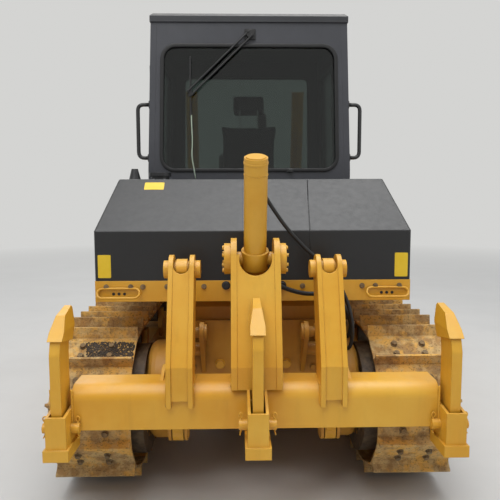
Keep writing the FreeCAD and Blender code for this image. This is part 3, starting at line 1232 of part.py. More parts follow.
def centre_column(blank):
    """Wider column that carries the cylinder's trunnion, cut out round above."""
    rear, half = COLUMN_REAR_Y, CENTRE_COLUMN_HALF
    inner = half - CENTRE_COLUMN_PLATE
    ty, tz = RIPPER_TRUNNION_Y, RIPPER_TRUNNION_Z
    chain = [(BEAM_FRONT_Y - 20, BEAM_TOP_Z + 60), (BEAM_FRONT_Y - 20, BEAM_TOP_Z - 1), (BEAM_REAR_Y + 1, CENTRE_FOOT_Z),
             (rear, CENTRE_FOOT_Z), (rear, KNEE_Z)]
    plates = []
    for side in (-1, 1):
        a, b = sorted((side * inner, side * half))
        plates.append(eared_plate(chain, (ty, tz), CENTRE_EAR_R, a, b))
    head = tangent_point((rear, KNEE_Z), chain[0], (ty, tz), CENTRE_EAR_R)
    skin = side_prism([(rear + 3, CENTRE_FOOT_Z), (rear + 3, KNEE_Z), (head[0] + 3, head[1]), (head[0] + 26, head[1]),
                       (rear + 26, KNEE_Z - 4), (rear + 26, CENTRE_FOOT_Z)], -inner - 1, inner + 1)
    notch = Part.makeCylinder(RIPPER_BARREL_R + 26, 500, V(0, ty - 400, tz + 10), Y_AXIS)
    bore = bar_x(-half - 1, half + 1, ty, tz, TRUNNION_PIN_R + PIN_GAP)
    bosses = pin_bosses(0.0, half, ty, tz, CENTRE_EAR_R - 28, 36.0)
    return fuse(fuse(*plates, skin.cut(notch)).cut(bore), *bosses).cut(blank)


def ripper_axis():
    pivot = V(0, RIPPER_TRUNNION_Y, RIPPER_TRUNNION_Z)
    eye = V(0, RIPPER_EYE_Y, RIPPER_EYE_Z)
    return pivot, eye, (eye - pivot).normalize()


TRUNNION_PIN_R = 38.0
RIPPER_WALL = 12.0
PORT_R = 20.0
ELBOW_R = 15.0
ELBOW_LENGTH = 40.0
PORT_GAP = 7.0


def port_fitting(end, after, pivot, along):
    """Boss on the cylinder and the elbow that points at a hose's end."""
    away = (after - end).normalize()
    knee = end - away * ELBOW_LENGTH
    foot = pivot + along * along.dot(knee - pivot)
    out = (knee - foot).normalize()
    boss = rod(foot + out * (RIPPER_BARREL_R - RIPPER_WALL / 2), knee + out * ELBOW_R, PORT_R)
    return [boss, rod(knee, end - away * PORT_GAP, ELBOW_R)]


def ripper_barrel():
    pivot, eye, along = ripper_axis()
    tube = rod(pivot - along * RIPPER_TAIL, pivot + along * RIPPER_NOSE, RIPPER_BARREL_R)
    bore = rod(pivot - along * (RIPPER_TAIL - 50), pivot + along * (RIPPER_NOSE - 40), RIPPER_BARREL_R - RIPPER_WALL)
    mouth = rod(pivot, pivot + along * (RIPPER_NOSE + 5), RIPPER_ROD_R + RUN_GAP)
    collar = rod(pivot - along * 50, pivot + along * 50, RIPPER_BARREL_R + 14)
    half = CENTRE_COLUMN_HALF - 2
    trunnions = bar_x(-half, half, pivot.y, pivot.z, TRUNNION_PIN_R)
    ports = []
    for hose in (LONG_HOSE, SHORT_HOSE):
        ports += port_fitting(V(*hose[0]), V(*hose[1]), pivot, along)
    return fuse(tube, collar, trunnions, *ports).cut([bore, mouth])


def ripper_rod():
    pivot, eye, along = ripper_axis()
    inside = eye - along * (RIPPER_EYE_DISTANCE - RIPPER_NOSE + 110)
    stem = rod(inside + along * 30, eye, RIPPER_ROD_R)
    piston = rod(inside, inside + along * 50, RIPPER_BARREL_R - RIPPER_WALL - RUN_GAP)
    return fuse(stem, piston, bar_x(-ROD_EYE_HALF, ROD_EYE_HALF, eye.y, eye.z, ROD_EYE_R))


# Shank places: middle x, rear y and foot z of the pocket, front y and front top z of its cheeks
SHANK_PLACES = (
    # x, rear, foot, front, front top
    (-SHANK_X, SIDE_POCKET_REAR_Y, SIDE_POCKET_Z, BEAM_FRONT_Y, SIDE_POCKET_Z + POCKET_HEIGHT + 30),
    (0.0, CENTRE_POCKET_REAR_Y, CENTRE_POCKET_Z, BEAM_REAR_Y + 20, BEAM_TOP_Z - 5),
    (SHANK_X, SIDE_POCKET_REAR_Y, SIDE_POCKET_Z, BEAM_FRONT_Y, SIDE_POCKET_Z + POCKET_HEIGHT + 30),
)


def shank_pin(rear, foot):
    """Place of the pin that holds a shank, in the plane square to x."""
    return rear + POCKET_PLATE + POCKET_GAP + SHANK_DEPTH / 2, foot + SHANK_PIN_HEIGHT


def pocket(x, rear, foot, front, front_top, blank):
    """Sleeve for one shank: rear wall, two cheeks, a front wall, a thick collar and the pin."""
    inner = pocket_inner()
    outer = inner + POCKET_PLATE
    top = foot + POCKET_HEIGHT
    hollow_end = rear + POCKET_PLATE + SHANK_DEPTH + 2 * POCKET_GAP
    cheeks = []
    for side in (-1, 1):
        a, b = sorted((x + side * inner, x + side * outer))
        cheeks.append(side_prism([(rear, foot), (rear, top), (front, front_top), (front, foot + 90), (hollow_end, foot)], a, b))
    walls = [box(x - inner - 1, x + inner + 1, rear, rear + POCKET_PLATE, foot, top),
             box(x - inner - 1, x + inner + 1, hollow_end, hollow_end + POCKET_PLATE, foot + 40, top)]
    lip = COLLAR_LIP
    collar = box(x - outer - lip, x + outer + lip, rear - lip, hollow_end + lip, foot, foot + COLLAR_HEIGHT)
    hole = box(x - inner, x + inner, rear + POCKET_PLATE, hollow_end, foot - 1, foot + COLLAR_HEIGHT + 1)
    y, z = shank_pin(rear, foot)
    pin = bar_x(x - outer - 42, x + outer + 42, y, z, SHANK_PIN_R)
    return fuse(*cheeks, *walls, collar.cut(hole), pin).cut(blank)


# Shank stowed upside down, from the pocket's foot and the shank's own rear face: y forwards, z upwards
SHANK_SIDE = (
    # forwards, upwards
    (0.0, -12.0),
    (0.0, 525.0),
    (22.0, 590.0),
    (88.0, 655.0),
    (205.0, 655.0),
    (170.0, 590.0),
    (SHANK_DEPTH, 510.0),
    (SHANK_DEPTH, -12.0),
)
POINT_SIDE = (
    # forwards, upwards
    (8.0, 592.0),
    (120.0, 700.0),
    (250.0, 728.0),
    (262.0, 716.0),
    (240.0, 640.0),
    (188.0, 560.0),
)
POINT_LIP = 11.0
POINT_TIP_HALF = 17.0
SHANK_BEND_R = 60.0
SHANK_BENDS = (480.0, 620.0)    # heights between which the bar's bends are rounded


def shank_outline(rear, foot, table):
    base = rear + POCKET_PLATE + POCKET_GAP
    return [(base + y, foot + z) for y, z in table]


def shank(x, rear, foot):
    """Bent flat bar with its bends rounded and the bore for its pin."""
    half = SHANK_THICK / 2
    bar = side_prism(shank_outline(rear, foot, SHANK_SIDE), x - half, x + half)
    bends = [e for e in bar.Edges if abs(e.tangentAt(e.FirstParameter).x) > 0.9
             and foot + SHANK_BENDS[0] < e.BoundBox.ZMin < foot + SHANK_BENDS[1]]
    bar = bar.makeFillet(SHANK_BEND_R, bends)
    y, z = shank_pin(rear, foot)
    return bar.cut(bar_x(x - half - 1, x + half + 1, y, z, SHANK_PIN_R + RUN_GAP))


def point(x, rear, foot):
    """Cast cap on a shank's end, narrowing to a chisel edge."""
    wide = SHANK_THICK / 2 + POINT_LIP
    cap = side_prism(shank_outline(rear, foot, POINT_SIDE), x - wide, x + wide)
    low, high = foot + POINT_SIDE[0][1] - 60, foot + POINT_SIDE[2][1]
    neck = (low + high) / 2
    half_front = [(wide, low), (wide, neck), (POINT_TIP_HALF, high + 1)]
    front = [(x + dx, z) for dx, z in half_front] + [(x - dx, z) for dx, z in reversed(half_front)]
    cap = cap.common(front_prism(front, rear, rear + 600))
    return cap.cut(shank(x, rear, foot))


def ripper_frame():
    """Beam, columns and pockets, welded into one."""
    blank = beam()
    columns = [side_column(x, blank) for x in (-COLUMN_X, COLUMN_X)]
    pockets = [pocket(*place, blank) for place in SHANK_PLACES]
    return fuse(blank, *columns, centre_column(blank), *pockets)


# Hoses of the ripper cylinder
def bent_tube(points, radius):
    """Hose through its bends: straight runs joined by arcs as large as the runs allow."""
    edges, radii, start = [], [], points[0]
    for before, corner, after in zip(points, points[1:], points[2:]):
        back, ahead = (before - corner).normalize(), (after - corner).normalize()
        half_turn = (math.pi - back.getAngle(ahead)) / 2
        reach = 0.45 * min((before - corner).Length, (after - corner).Length)
        bend = reach / math.tan(half_turn)
        inwards = (back + ahead).normalize()
        crown = corner + inwards * (bend / math.cos(half_turn) - bend)
        first, last = corner + back * reach, corner + ahead * reach
        edges += [Part.makeLine(start, first), Part.Arc(first, crown, last).toShape()]
        radii.append(round(bend))
        start = last
    edges.append(Part.makeLine(start, points[-1]))
    path = Part.Wire(edges)
    disc = Part.Face(Part.Wire(Part.makeCircle(radius, points[0], points[1] - points[0])))
    tube = path.makePipe(disc)
    print("hose", round(path.Length), "radii", radii, "fill", round(tube.Volume / path.Length / math.pi / radius ** 2, 3))
    return tube


# Points of the two hoses, from the cylinder to the case
LONG_HOSE = (
    # x, y, z
    (0.0, -490.0, 1835.0),
    (10.0, -424.0, 1856.0),
    (52.0, -366.0, 1818.0),
    (118.0, -345.0, 1716.0),
    (196.0, -325.0, 1610.0),
    (300.0, -318.0, 1500.0),
    (402.0, -318.0, 1412.0),
    (486.0, -322.0, 1312.0),
    (540.0, -328.0, 1196.0),
    (568.0, -334.0, 1080.0),
    (572.0, -326.0, 978.0),
    (560.0, -286.0, 902.0),
    (536.0, -212.0, 900.0),
    (508.0, -130.0, 942.0),
    (488.0, -50.0, 966.0),
    (456.0, 0.0, 975.0),
    (400.3, 0.0, 975.0),
)
SHORT_HOSE = (
    # x, y, z
    (75.0, -335.0, 1330.0),
    (122.0, -318.0, 1302.0),
    (206.0, -300.0, 1262.0),
    (300.0, -286.0, 1236.0),
    (396.0, -278.0, 1238.0),
    (482.0, -276.0, 1212.0),
    (544.0, -280.0, 1140.0),
    (574.0, -282.0, 1050.0),
    (568.0, -250.0, 976.0),
    (540.0, -180.0, 950.0),
    (510.0, -95.0, 984.0),
    (490.0, -15.0, 1016.0),
    (456.0, 40.0, 1030.0),
    (400.3, 40.0, 1030.0),
)
HOSE_RADII = (11.0, 13.0)


def ripper_hoses():
    routes = (LONG_HOSE, SHORT_HOSE)
    return Part.makeCompound([bent_tube([V(*p) for p in route], r) for route, r in zip(routes, HOSE_RADII)])


def build():
    right_track = track()
    frame = track_frame()
    frame = fuse(frame, trunnion())
    rollers = bottom_rollers() + carrier_rollers()
    right_door = door()
    right_glass = door_glass()
    right_wall = wall_with_openings()
    blade = moldboard()
    stowed = [place[:3] for place in SHANK_PLACES]
    return {
        "track_right": right_track,
        "track_left": mirrored(right_track),
        "sprockets": pair(sprocket()),
        "idlers": pair(idler()),
        "rollers": Part.makeCompound(rollers + [mirrored(r) for r in rollers]),
        "track_frames": pair(frame),
        "final_drives": pair(final_drive()),
        "rear_case": rear_case(),
        "main_frame": main_frame(),
        "equalizer_bar": equalizer_bar(),
        "engine_block": engine_block(),
        "hood": hood(),
        "hood_sides": hood_sides(),
        "radiator_guard": radiator_guard(),
        "grille": grille(),
        "exhaust": exhaust(),
        "precleaner": precleaner(),
        "lamps": lamps(),
        "fuel_tank": fuel_tank(),
        "plate_rings": plate_rings(),
        "ripper_hoses": ripper_hoses(),
        "tank_support": tank_support(),
        "fenders": fenders(),
        "cab_floor": cab_floor(),
        "cab_rear_wall": rear_wall(),
        "cab_front_wall": front_wall(),
        "cab_sides": pair(right_wall),
        "cab_roof": cab_roof(),
        "cab_glass": cab_glass(),
        "door_right": right_door,
        "door_left": mirrored(right_door),
        "door_glass_right": right_glass,
        "door_glass_left": mirrored(right_glass),
        "seat_base": seat_base(),
        "seat_cushions": seat_cushions(),
        "consoles": Part.makeCompound([consoles(), dash()]),
        "handrails": handrails(),
        "moldboard": fuse(blade, *lift_brackets(blade).Solids),
        "cutting_edges": Part.makeCompound([cutting_edge(blade), end_bits(blade)]),
        "push_arms": push_arms(),
        "braces": braces(),
        "lift_barrels": pair(lift_barrel()),
        "lift_rods": pair(lift_rod()),
        "ripper_bracket": ripper_bracket(),
        "lower_arms": lower_arms(),
        "upper_links": upper_links(),
        "ripper_frame": ripper_frame(),
        "shanks": Part.makeCompound([shank(*place) for place in stowed]),
        "points": Part.makeCompound([point(*place) for place in stowed]),
        "ripper_barrel": ripper_barrel(),
        "ripper_rod": ripper_rod(),
    }


def main():
    os.makedirs("parts", exist_ok=True)
    shapes = build()
    low = min(s.BoundBox.YMin for s in shapes.values())
    high = max(s.BoundBox.YMax for s in shapes.values())
    shift = -(low + high) / 2
    for name, shape in shapes.items():
        shape.translate(V(0, shift, 0))
        shape.exportStep("parts/" + name + ".step")
    print("Y_SHIFT", round(shift, 4), "length", round(high - low, 1), "idler", round(IDLER_Y, 2))


main()
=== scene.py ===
"""Dresses a crawler bulldozer with a three-shank ripper: finishes, fittings, seat, stage and camera."""
import bmesh
import bpy
import math
from bpy.props import FloatProperty, FloatVectorProperty
from mathutils import Matrix, Vector


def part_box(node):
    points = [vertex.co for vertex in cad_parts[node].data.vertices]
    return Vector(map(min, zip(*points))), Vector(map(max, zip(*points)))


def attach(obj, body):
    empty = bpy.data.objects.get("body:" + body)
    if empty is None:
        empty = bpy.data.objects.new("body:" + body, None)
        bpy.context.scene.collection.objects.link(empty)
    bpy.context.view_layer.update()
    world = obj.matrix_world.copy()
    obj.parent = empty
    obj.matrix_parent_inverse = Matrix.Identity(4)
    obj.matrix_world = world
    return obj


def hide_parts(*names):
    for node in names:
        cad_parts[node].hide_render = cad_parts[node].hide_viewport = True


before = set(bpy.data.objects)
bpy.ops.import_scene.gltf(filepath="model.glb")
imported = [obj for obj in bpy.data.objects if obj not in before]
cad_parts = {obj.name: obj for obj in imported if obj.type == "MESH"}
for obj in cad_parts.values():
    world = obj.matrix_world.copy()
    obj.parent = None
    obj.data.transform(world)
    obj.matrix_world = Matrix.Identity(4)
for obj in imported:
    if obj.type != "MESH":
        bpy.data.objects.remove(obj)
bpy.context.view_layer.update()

bl_info = {
    "name": "Crawler bulldozer dressing",
    "version": (1, 0, 0),
    "blender": (4, 5, 0),
    "location": "View3D > Sidebar > Bulldozer",
    "description": "Finishes and fittings for a bulldozer with a rear ripper",
    "category": "Object",
}


# ---- Places taken from the frame, in metres ----

def middle(node):
    """Centre of a node's box."""
    low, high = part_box(node)
    return (Vector(low) + Vector(high)) / 2


def corners_of(node):
    """Lowest and highest corner of a node's box."""
    low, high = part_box(node)
    return Vector(low), Vector(high)


AXLE = middle("sprockets")
TRACK_X = middle("track_right").x
TANK_REAR, TANK_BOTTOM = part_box("fuel_tank")[0][1:]
TANK_SHOULDER = TANK_BOTTOM + 0.295
TANK_TOP = TANK_BOTTOM + 0.608
TANK_TOP_REAR = TANK_REAR + 0.420
REARWARD = Vector((0, -1, 0))
OUTWARD = Vector((1, 0, 0))
UPWARD = Vector((0, 0, 1))
SIDES = ((1, "right"), (-1, "left"))


def from_axle(x, y, z):
    """A place that is measured from the sprocket axle along the machine, and from the floor."""
    return Vector((x, y + AXLE.y, z))


def both_sides(places):
    """Every place with its aim, and the same on the other side of the machine."""
    return [[Vector((side * v[0], v[1], v[2])) for v in pair] for pair in places for side in (1, -1)]


def on_circle(count, radius, middle_y, middle_z, x, first=0.5, step=None):
    """Places with outward aims on a circle that stands upright along the machine."""
    step = step or 2 * math.pi / count
    turns = [(k + first) * step for k in range(count)]
    return [((x, middle_y + radius * math.cos(a), middle_z + radius * math.sin(a)), OUTWARD) for a in turns]


# ---- Finishes ----

FULL_TURN = 6.28
THREAD_MM = 5.0
COLOUR = {"size": 3, "min": 0.0, "max": 1.0, "subtype": "COLOR"}


def linear(code, alpha=1.0):
    """A colour as linear light: from sRGB hex, or from a colour property, which is linear already."""
    if not isinstance(code, str):
        return tuple(code) + (alpha,)
    values = [int(code[i:i + 2], 16) / 255 for i in (1, 3, 5)]
    return tuple(v / 12.92 if v <= 0.04045 else ((v + 0.055) / 1.055) ** 2.4 for v in values) + (alpha,)


class FinishColours(bpy.types.PropertyGroup):
    machine: FloatVectorProperty(name="Machine enamel", description="Paint of the blade, ripper and bonnet",
                                 default=linear("#DC9F22")[:3], **COLOUR)
    # painted shade: darker and more orange than the machine enamel, the look of yellow paint in shade low
    # under the machine
    lower: FloatVectorProperty(name="Lower enamel", description="Paint of the frames and cases below the cab, darkened as painted shade",
                               default=linear("#BF8420")[:3], **COLOUR)
    tank_low: FloatVectorProperty(name="Tank, lower part", description="Paint of the tank below its shoulder",
                                  default=linear("#121213")[:3], **COLOUR)
    tank_top: FloatVectorProperty(name="Tank, upper part", description="Paint of the tank above its shoulder",
                                  default=linear("#1D1E20")[:3], **COLOUR)
    cab: FloatVectorProperty(name="Cab enamel", description="Paint of the cab's walls and doors",
                             default=linear("#3C3D42")[:3], **COLOUR)
    roof: FloatVectorProperty(name="Roof enamel", description="Paint of the cab's roof",
                              default=linear("#28292C")[:3], **COLOUR)
    glass: FloatVectorProperty(name="Glass tint", description="Tint of the cab's windows",
                               default=linear("#7A8480")[:3], **COLOUR)
    label: FloatVectorProperty(name="Labels", description="Vinyl of the blank labels on the tank",
                               default=linear("#E9C21C")[:3], **COLOUR)


def feed(tree, node, links):
    """Gives a node's inputs a value, a socket or another node's first output."""
    for key, value in links.items():
        named = (s for s in node.inputs if s.enabled and s.name == key)
        socket = node.inputs[key] if isinstance(key, int) else next(named)
        if isinstance(value, bpy.types.Node):
            value = next(s for s in value.outputs if s.enabled)
        if isinstance(value, bpy.types.NodeSocket):
            tree.links.new(value, socket)
        else:
            socket.default_value = value
    return node


def add(tree, kind, links=None, **settings):
    """One node with its settings and its inputs."""
    node = tree.nodes.new(kind)
    for key, value in settings.items():
        setattr(node, key, value)
    return feed(tree, node, links or {})


def new_material(name):
    material = bpy.data.materials.new(name)
    material.use_nodes = True
    tree = material.node_tree
    tree.nodes.clear()
    shader = add(tree, "ShaderNodeBsdfPrincipled")
    add(tree, "ShaderNodeOutputMaterial", {"Surface": shader})
    return material, tree, shader


def patches(tree, size_mm, low=0.3, high=0.7, detail=5.0, stretch=(1, 1, 1), shift=(0, 0, 0), to=(0.0, 1.0)):
    """Soft patches of about a size in millimetres, fixed to the piece: none below low, full above high."""
    place = add(tree, "ShaderNodeTexCoord").outputs["Object"]
    scale = [1000.0 / size_mm * s for s in stretch]
    mapping = add(tree, "ShaderNodeMapping", {"Vector": place, "Scale": scale, "Location": shift})
    noise = add(tree, "ShaderNodeTexNoise", {"Vector": mapping, "Scale": 1.0, "Detail": detail,
                                             "Roughness": 0.62})
    return add(tree, "ShaderNodeMapRange", {"Value": noise, "From Min": low, "From Max": high,
                                            "To Min": to[0], "To Max": to[1]})


def coats(tree, base, *layers):
    """Colours laid over a base one after another, each as strongly as its shares multiplied."""
    colour = linear(base)
    for code, share, *others in layers:
        for other in others:
            share = add(tree, "ShaderNodeMath", {0: share, 1: other}, operation="MULTIPLY")
        colour = add(tree, "ShaderNodeMix", {"Factor": share, "A": colour, "B": linear(code)},
                     data_type="RGBA")
    return colour


def rounded(tree, radius_mm):
    """Normal of a surface whose edges are rounded."""
    return add(tree, "ShaderNodeBevel", {"Radius": radius_mm / 1000}, samples=4)


def wear(tree, bevel, reach_mm=80):
    """Shares of worn edge, of ledge where dust settles, and of corner for painted shade, found by ambient
    occlusion.
    """
    true = add(tree, "ShaderNodeNewGeometry").outputs["True Normal"]
    dot = add(tree, "ShaderNodeVectorMath", {0: bevel, 1: true}, operation="DOT_PRODUCT").outputs["Value"]
    edge = add(tree, "ShaderNodeMapRange", {"Value": dot, "From Min": 0.985, "From Max": 0.86})
    up = add(tree, "ShaderNodeSeparateXYZ", {0: true}).outputs["Z"]
    ledge = add(tree, "ShaderNodeMapRange", {"Value": up, "From Min": 0.35, "From Max": 0.95})
    # painted shade: the corner share is highest where ambient occlusion finds nearby surfaces
    hollow = add(tree, "ShaderNodeAmbientOcclusion", {"Distance": reach_mm / 1000}, samples=4).outputs["AO"]
    corner = add(tree, "ShaderNodeMapRange", {"Value": hollow, "From Min": 0.75, "From Max": 0.2})
    return edge, ledge, corner


def enamel(name, paint, faded, dust, dusty, dirt_and_shade_colour, dirt_and_shade_share=0.5, roughness=0.4, panel=None):
    """Sprayed enamel: an uneven colour, dust on ledges, dirt in streaks, painted shade in corners, paler worn
    edges.
    """
    material, tree, shader = new_material(name)
    bevel = rounded(tree, 5.0)
    edge, ledge, corner = wear(tree, bevel)
    upper = []
    if panel:
        # another paint above a height
        height, code = panel
        place = add(tree, "ShaderNodeTexCoord").outputs["Object"]
        level = add(tree, "ShaderNodeSeparateXYZ", {0: place}).outputs["Z"]
        upper.append((code, add(tree, "ShaderNodeMapRange", {"Value": level, "From Min": height - 0.002,
                                                             "From Max": height + 0.002})))
    # the last coat is chips of a few millimetres along the edges, which show the brown primer
    colour = coats(tree, paint, (faded, patches(tree, 420, 0.35, 0.7)), *upper,
                   (dirt_and_shade_colour, patches(tree, 55, 0.52, 0.78, stretch=(1, 1, 0.12)), 0.2 * dirt_and_shade_share),
                   # painted shade: the dark colour laid in corners by the ambient-occlusion share
                   (dirt_and_shade_colour, corner, patches(tree, 70, 0.25, 0.6), dirt_and_shade_share),
                   (dust, ledge, patches(tree, 120, 0.3, 0.75), dusty),
                   (faded, edge, 0.35),
                   ("#5A4632", edge, patches(tree, 24, 0.56, 0.62), 0.6 * dirt_and_shade_share))
    # orange peel of a sprayed coat, drawn at 9 mm so that it shows
    peel = add(tree, "ShaderNodeBump", {"Height": patches(tree, 9, 0.2, 0.8), "Strength": 0.05,
                                        "Distance": 0.002, "Normal": bevel})
    rough = patches(tree, 35, 0.2, 0.8, to=(roughness - 0.05, roughness + 0.14))
    feed(tree, shader, {"Base Color": colour, "Normal": peel, "Roughness": rough, "IOR": 1.5,
                        "Coat Weight": 0.12, "Coat Roughness": 0.2})
    return material


def track_steel(name, rust, paint, painted, mud):
    """Rolled track steel: rust, dried mud and patches of worn-off yellow paint, rough to the eye."""
    material, tree, shader = new_material(name)
    bevel = rounded(tree, 3.0)
    edge, _, corner = wear(tree, bevel, 70)
    # the specks of rust through the paint are drawn at 14 mm so that they show
    colour = coats(tree, rust, ("#A08258", patches(tree, 90, 0.35, 0.65)),
                   (paint, patches(tree, 210, 0.48, 0.55, 7.0, shift=(3.1, 0, 0)), painted),
                   (mud, patches(tree, 60, 0.45, 0.6, 8.0, shift=(0, 7.7, 0)), 0.7),
                   ("#4B3826", patches(tree, 130, 0.58, 0.7, 6.0, shift=(9, 2, 0)), 0.45),
                   ("#5B3F24", patches(tree, 14, 0.56, 0.64, 3.0), 0.5),
                   # painted shade: dark brown in corners where ambient occlusion finds them
                   ("#33261A", corner, 0.75),
                   ("#A89678", edge, 0.5))
    crust = add(tree, "ShaderNodeBump", {"Height": patches(tree, 16, 0.25, 0.75, 8.0), "Strength": 0.55,
                                         "Distance": 0.006, "Normal": bevel})
    feed(tree, shader, {"Base Color": colour, "Normal": crust, "Roughness": 0.85, "Metallic": 0.1})
    return material


def plain(name, first, second, roughness, grain_mm=6.0, bump=0.05, metallic=0.0, edge_mm=3.0, dirt=0.0):
    """Even finish with a fine grain, a slightly uneven tone and rounded edges."""
    material, tree, shader = new_material(name)
    soiled = [("#8A7656", patches(tree, 50, 0.45, 0.65, 7.0), dirt)] if dirt else []
    colour = coats(tree, first, (second, patches(tree, 80)), *soiled)
    grain = add(tree, "ShaderNodeBump", {"Height": patches(tree, grain_mm, 0.2, 0.8, 3.0), "Strength": bump,
                                         "Distance": 0.002, "Normal": rounded(tree, edge_mm)})
    feed(tree, shader, {"Base Color": colour, "Normal": grain, "Roughness": roughness, "Metallic": metallic})
    return material


def tinted_glass(name, tint):
    """Toughened glass, dark from outside but clear enough to show the seat behind it."""
    material, tree, shader = new_material(name)
    haze = patches(tree, 150, 0.4, 0.8, to=(0.0, 0.05))
    feed(tree, shader, {"Base Color": linear(tint), "Roughness": haze, "IOR": 1.45,
                        "Transmission Weight": 1.0})
    return material


def hard_chrome(name):
    """Ground and hard-chromed rod, with faint rings from the grinding and an oily film."""
    material, tree, shader = new_material(name)
    rings = patches(tree, 30, 0.3, 0.7, 3.0, (1, 1, 6), to=(0.12, 0.24))
    feed(tree, shader, {"Base Color": linear("#C9C7C2"), "Roughness": rings, "Metallic": 1.0})
    return material


def seat_cloth(name):
    """Woven seat cloth: crossed threads, drawn at 5 mm so that they show, and a soft sheen at its edges."""
    material, tree, shader = new_material(name)
    place = add(tree, "ShaderNodeTexCoord").outputs["Object"]
    scale = 1000 / THREAD_MM / FULL_TURN
    waves = [add(tree, "ShaderNodeTexWave", {"Vector": place, "Scale": scale, "Distortion": 0.6},
                 bands_direction=direction).outputs["Fac"] for direction in ("X", "Z")]
    weave = add(tree, "ShaderNodeMath", {0: waves[0], 1: waves[1]}, operation="MAXIMUM")
    colour = coats(tree, "#1B1B1D", ("#34353A", weave))
    lift = add(tree, "ShaderNodeBump", {"Height": weave, "Strength": 0.4, "Distance": 0.002})
    feed(tree, shader, {"Base Color": colour, "Normal": lift, "Roughness": 0.9, "Sheen Weight": 0.3})
    return material


def make_finishes(colours):
    """Every finish by its short name; a comment says what each material and its making give the eye."""
    return {
        # sprayed enamel on plate: half gloss, warm, faded in broad patches
        "yellow": enamel("Yellow machine enamel", colours.machine, "#E5B03A", "#D0B47A", 0.3, "#5E3A0A"),
        # the same low down: a darker, more orange base as painted shade under the machine, with dust on
        # ledges, grease in streaks and a dark colour as painted shade in corners
        "yellow_dusty_shaded": enamel("Yellow enamel, dusty and shaded", colours.lower, "#CC9638", "#A0844F", 0.7,
                               "#36230C", 0.8, 0.55),
        # satin grey above the shoulder, near-black below it
        "tank": enamel("Tank enamel, grey over black", colours.tank_low, "#19191A", "#5E5B55", 0.08,
                       "#0E0D0C", 0.3, panel=(TANK_SHOULDER, colours.tank_top)),
        # dark satin coats that mirror the pale room softly
        "cab": enamel("Cab enamel", colours.cab, "#45464B", "#8B8577", 0.3, "#242324", 0.35, 0.38),
        "roof": enamel("Roof enamel", colours.roof, "#313236", "#8B8577", 0.35, "#1D1C1C", 0.3, 0.42),
        "black": enamel("Black enamel", "#1C1C1D", "#262627", "#77705F", 0.25, "#0E0E0E", 0.3, 0.42),
        # old paint under oil and dust: a dull ochre, with painted shade in its hollows
        "engine": enamel("Engine enamel", "#8F6B2B", "#9C7A3D", "#5B4C33", 0.7, "#241A0D", 0.8, 0.6),
        # rolled and hardened, then rusted: matt, blotched with paint and dry mud
        "track": track_steel("Rusty track steel with dried mud", "#B4884E", "#E8B458", 0.85, "#D6B880"),
        # the same where it rubs: darker and barer
        "worn_steel": track_steel("Rubbed track steel", "#5A4630", "#8E7B5E", 0.4, "#8F7C5D"),
        # crushed stone, damp: dark, grainy, without a shine
        "gravel": plain("Dark wet gravel", "#3A322A", "#5C5044", 0.75, 4.0, 0.4),
        # sand-cast, so coarse to the eye, and brown with grease
        "cast": plain("Greasy cast steel", "#3A2E22", "#574634", 0.62, 9.0, 0.3, 0.05, dirt=0.35),
        # scoured by the soil: bare grey metal with a blurred shine
        "edge_steel": plain("Scoured edge steel", "#6A665F", "#857D70", 0.45, 12.0, 0.2, 0.6),
        # bright plating: light grey and half mirror
        "zinc": plain("Zinc-plated steel", "#8E9093", "#A8A9AA", 0.38, 4.0, 0.05, 0.8, 1.0),
        # vulcanised: deep black with a soft wide shine
        "rubber": plain("Black rubber", "#121213", "#1B1B1C", 0.5, 4.0, 0.06),
        # injection-moulded ABS: fine leather grain, nearly matt
        "plastic": plain("Moulded plastic", "#202022", "#2A2A2C", 0.55, 3.0, 0.15),
        # rolled film: flat, clean and brighter than the paint
        "label": plain("Yellow vinyl label", colours.label, "#EFCB32", 0.35, 5.0, 0.02, edge_mm=0.5),
        # extruded: pale green, smooth and even
        "hose_green": plain("Pale washer hose", "#A9B8A4", "#B9C6B4", 0.45, 4.0, 0.03, edge_mm=0.5),
        "chrome": hard_chrome("Hard chrome"),
        "glass": tinted_glass("Tinted safety glass", colours.glass),
        "lens": tinted_glass("Clear lamp lens", "#F2F4F2"),
        "cloth": seat_cloth("Woven seat cloth"),
    }


NODE_FINISHES = {
    "track": ("track_right", "track_left"),
    "cast": ("sprockets", "idlers", "rollers"),
    "tank": ("fuel_tank",),
    "cab": ("cab_rear_wall", "cab_front_wall", "cab_sides", "door_left", "door_right"),
    "roof": ("cab_roof",),
    "black": ("handrails", "exhaust", "precleaner", "grille", "cab_floor", "seat_base", "lamps"),
    "rubber": ("ripper_hoses",),
    "plastic": ("consoles",),
    "cloth": ("seat_cushions",),
    "glass": ("cab_glass", "door_glass_left", "door_glass_right"),
    "chrome": ("lift_rods", "ripper_rod"),
    "edge_steel": ("cutting_edges",),
    "engine": ("engine_block",),
    "yellow_dusty_shaded": ("final_drives", "rear_case", "ripper_bracket", "main_frame", "track_frames",
                     "equalizer_bar"),
}
FINISHES = {}


class FINISH_OT_apply(bpy.types.Operator):
    """Gives every carried-over node its finish"""
    bl_idname = "bulldozer.finishes"
    bl_label = "Finishes"

    def execute(self, context):
        FINISHES.update(make_finishes(context.scene.bulldozer_colours))
        chosen = {node: key for key, nodes in NODE_FINISHES.items() for node in nodes}
        for name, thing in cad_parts.items():
            material = FINISHES[chosen.get(name, "yellow")]
            if not thing.material_slots:
                thing.data.materials.append(material)
            for slot in thing.material_slots:
                slot.material = material
        return {"FINISHED"}


# ---- Mesh helpers ----

def linked(name, data):
    """An object in the scene that holds a mesh, light or camera."""
    thing = bpy.data.objects.new(name, data)
    bpy.context.scene.collection.objects.link(thing)
    return thing


def evaluated(thing):
    """An object with its modifiers worked out."""
    return thing.evaluated_get(bpy.context.evaluated_depsgraph_get())


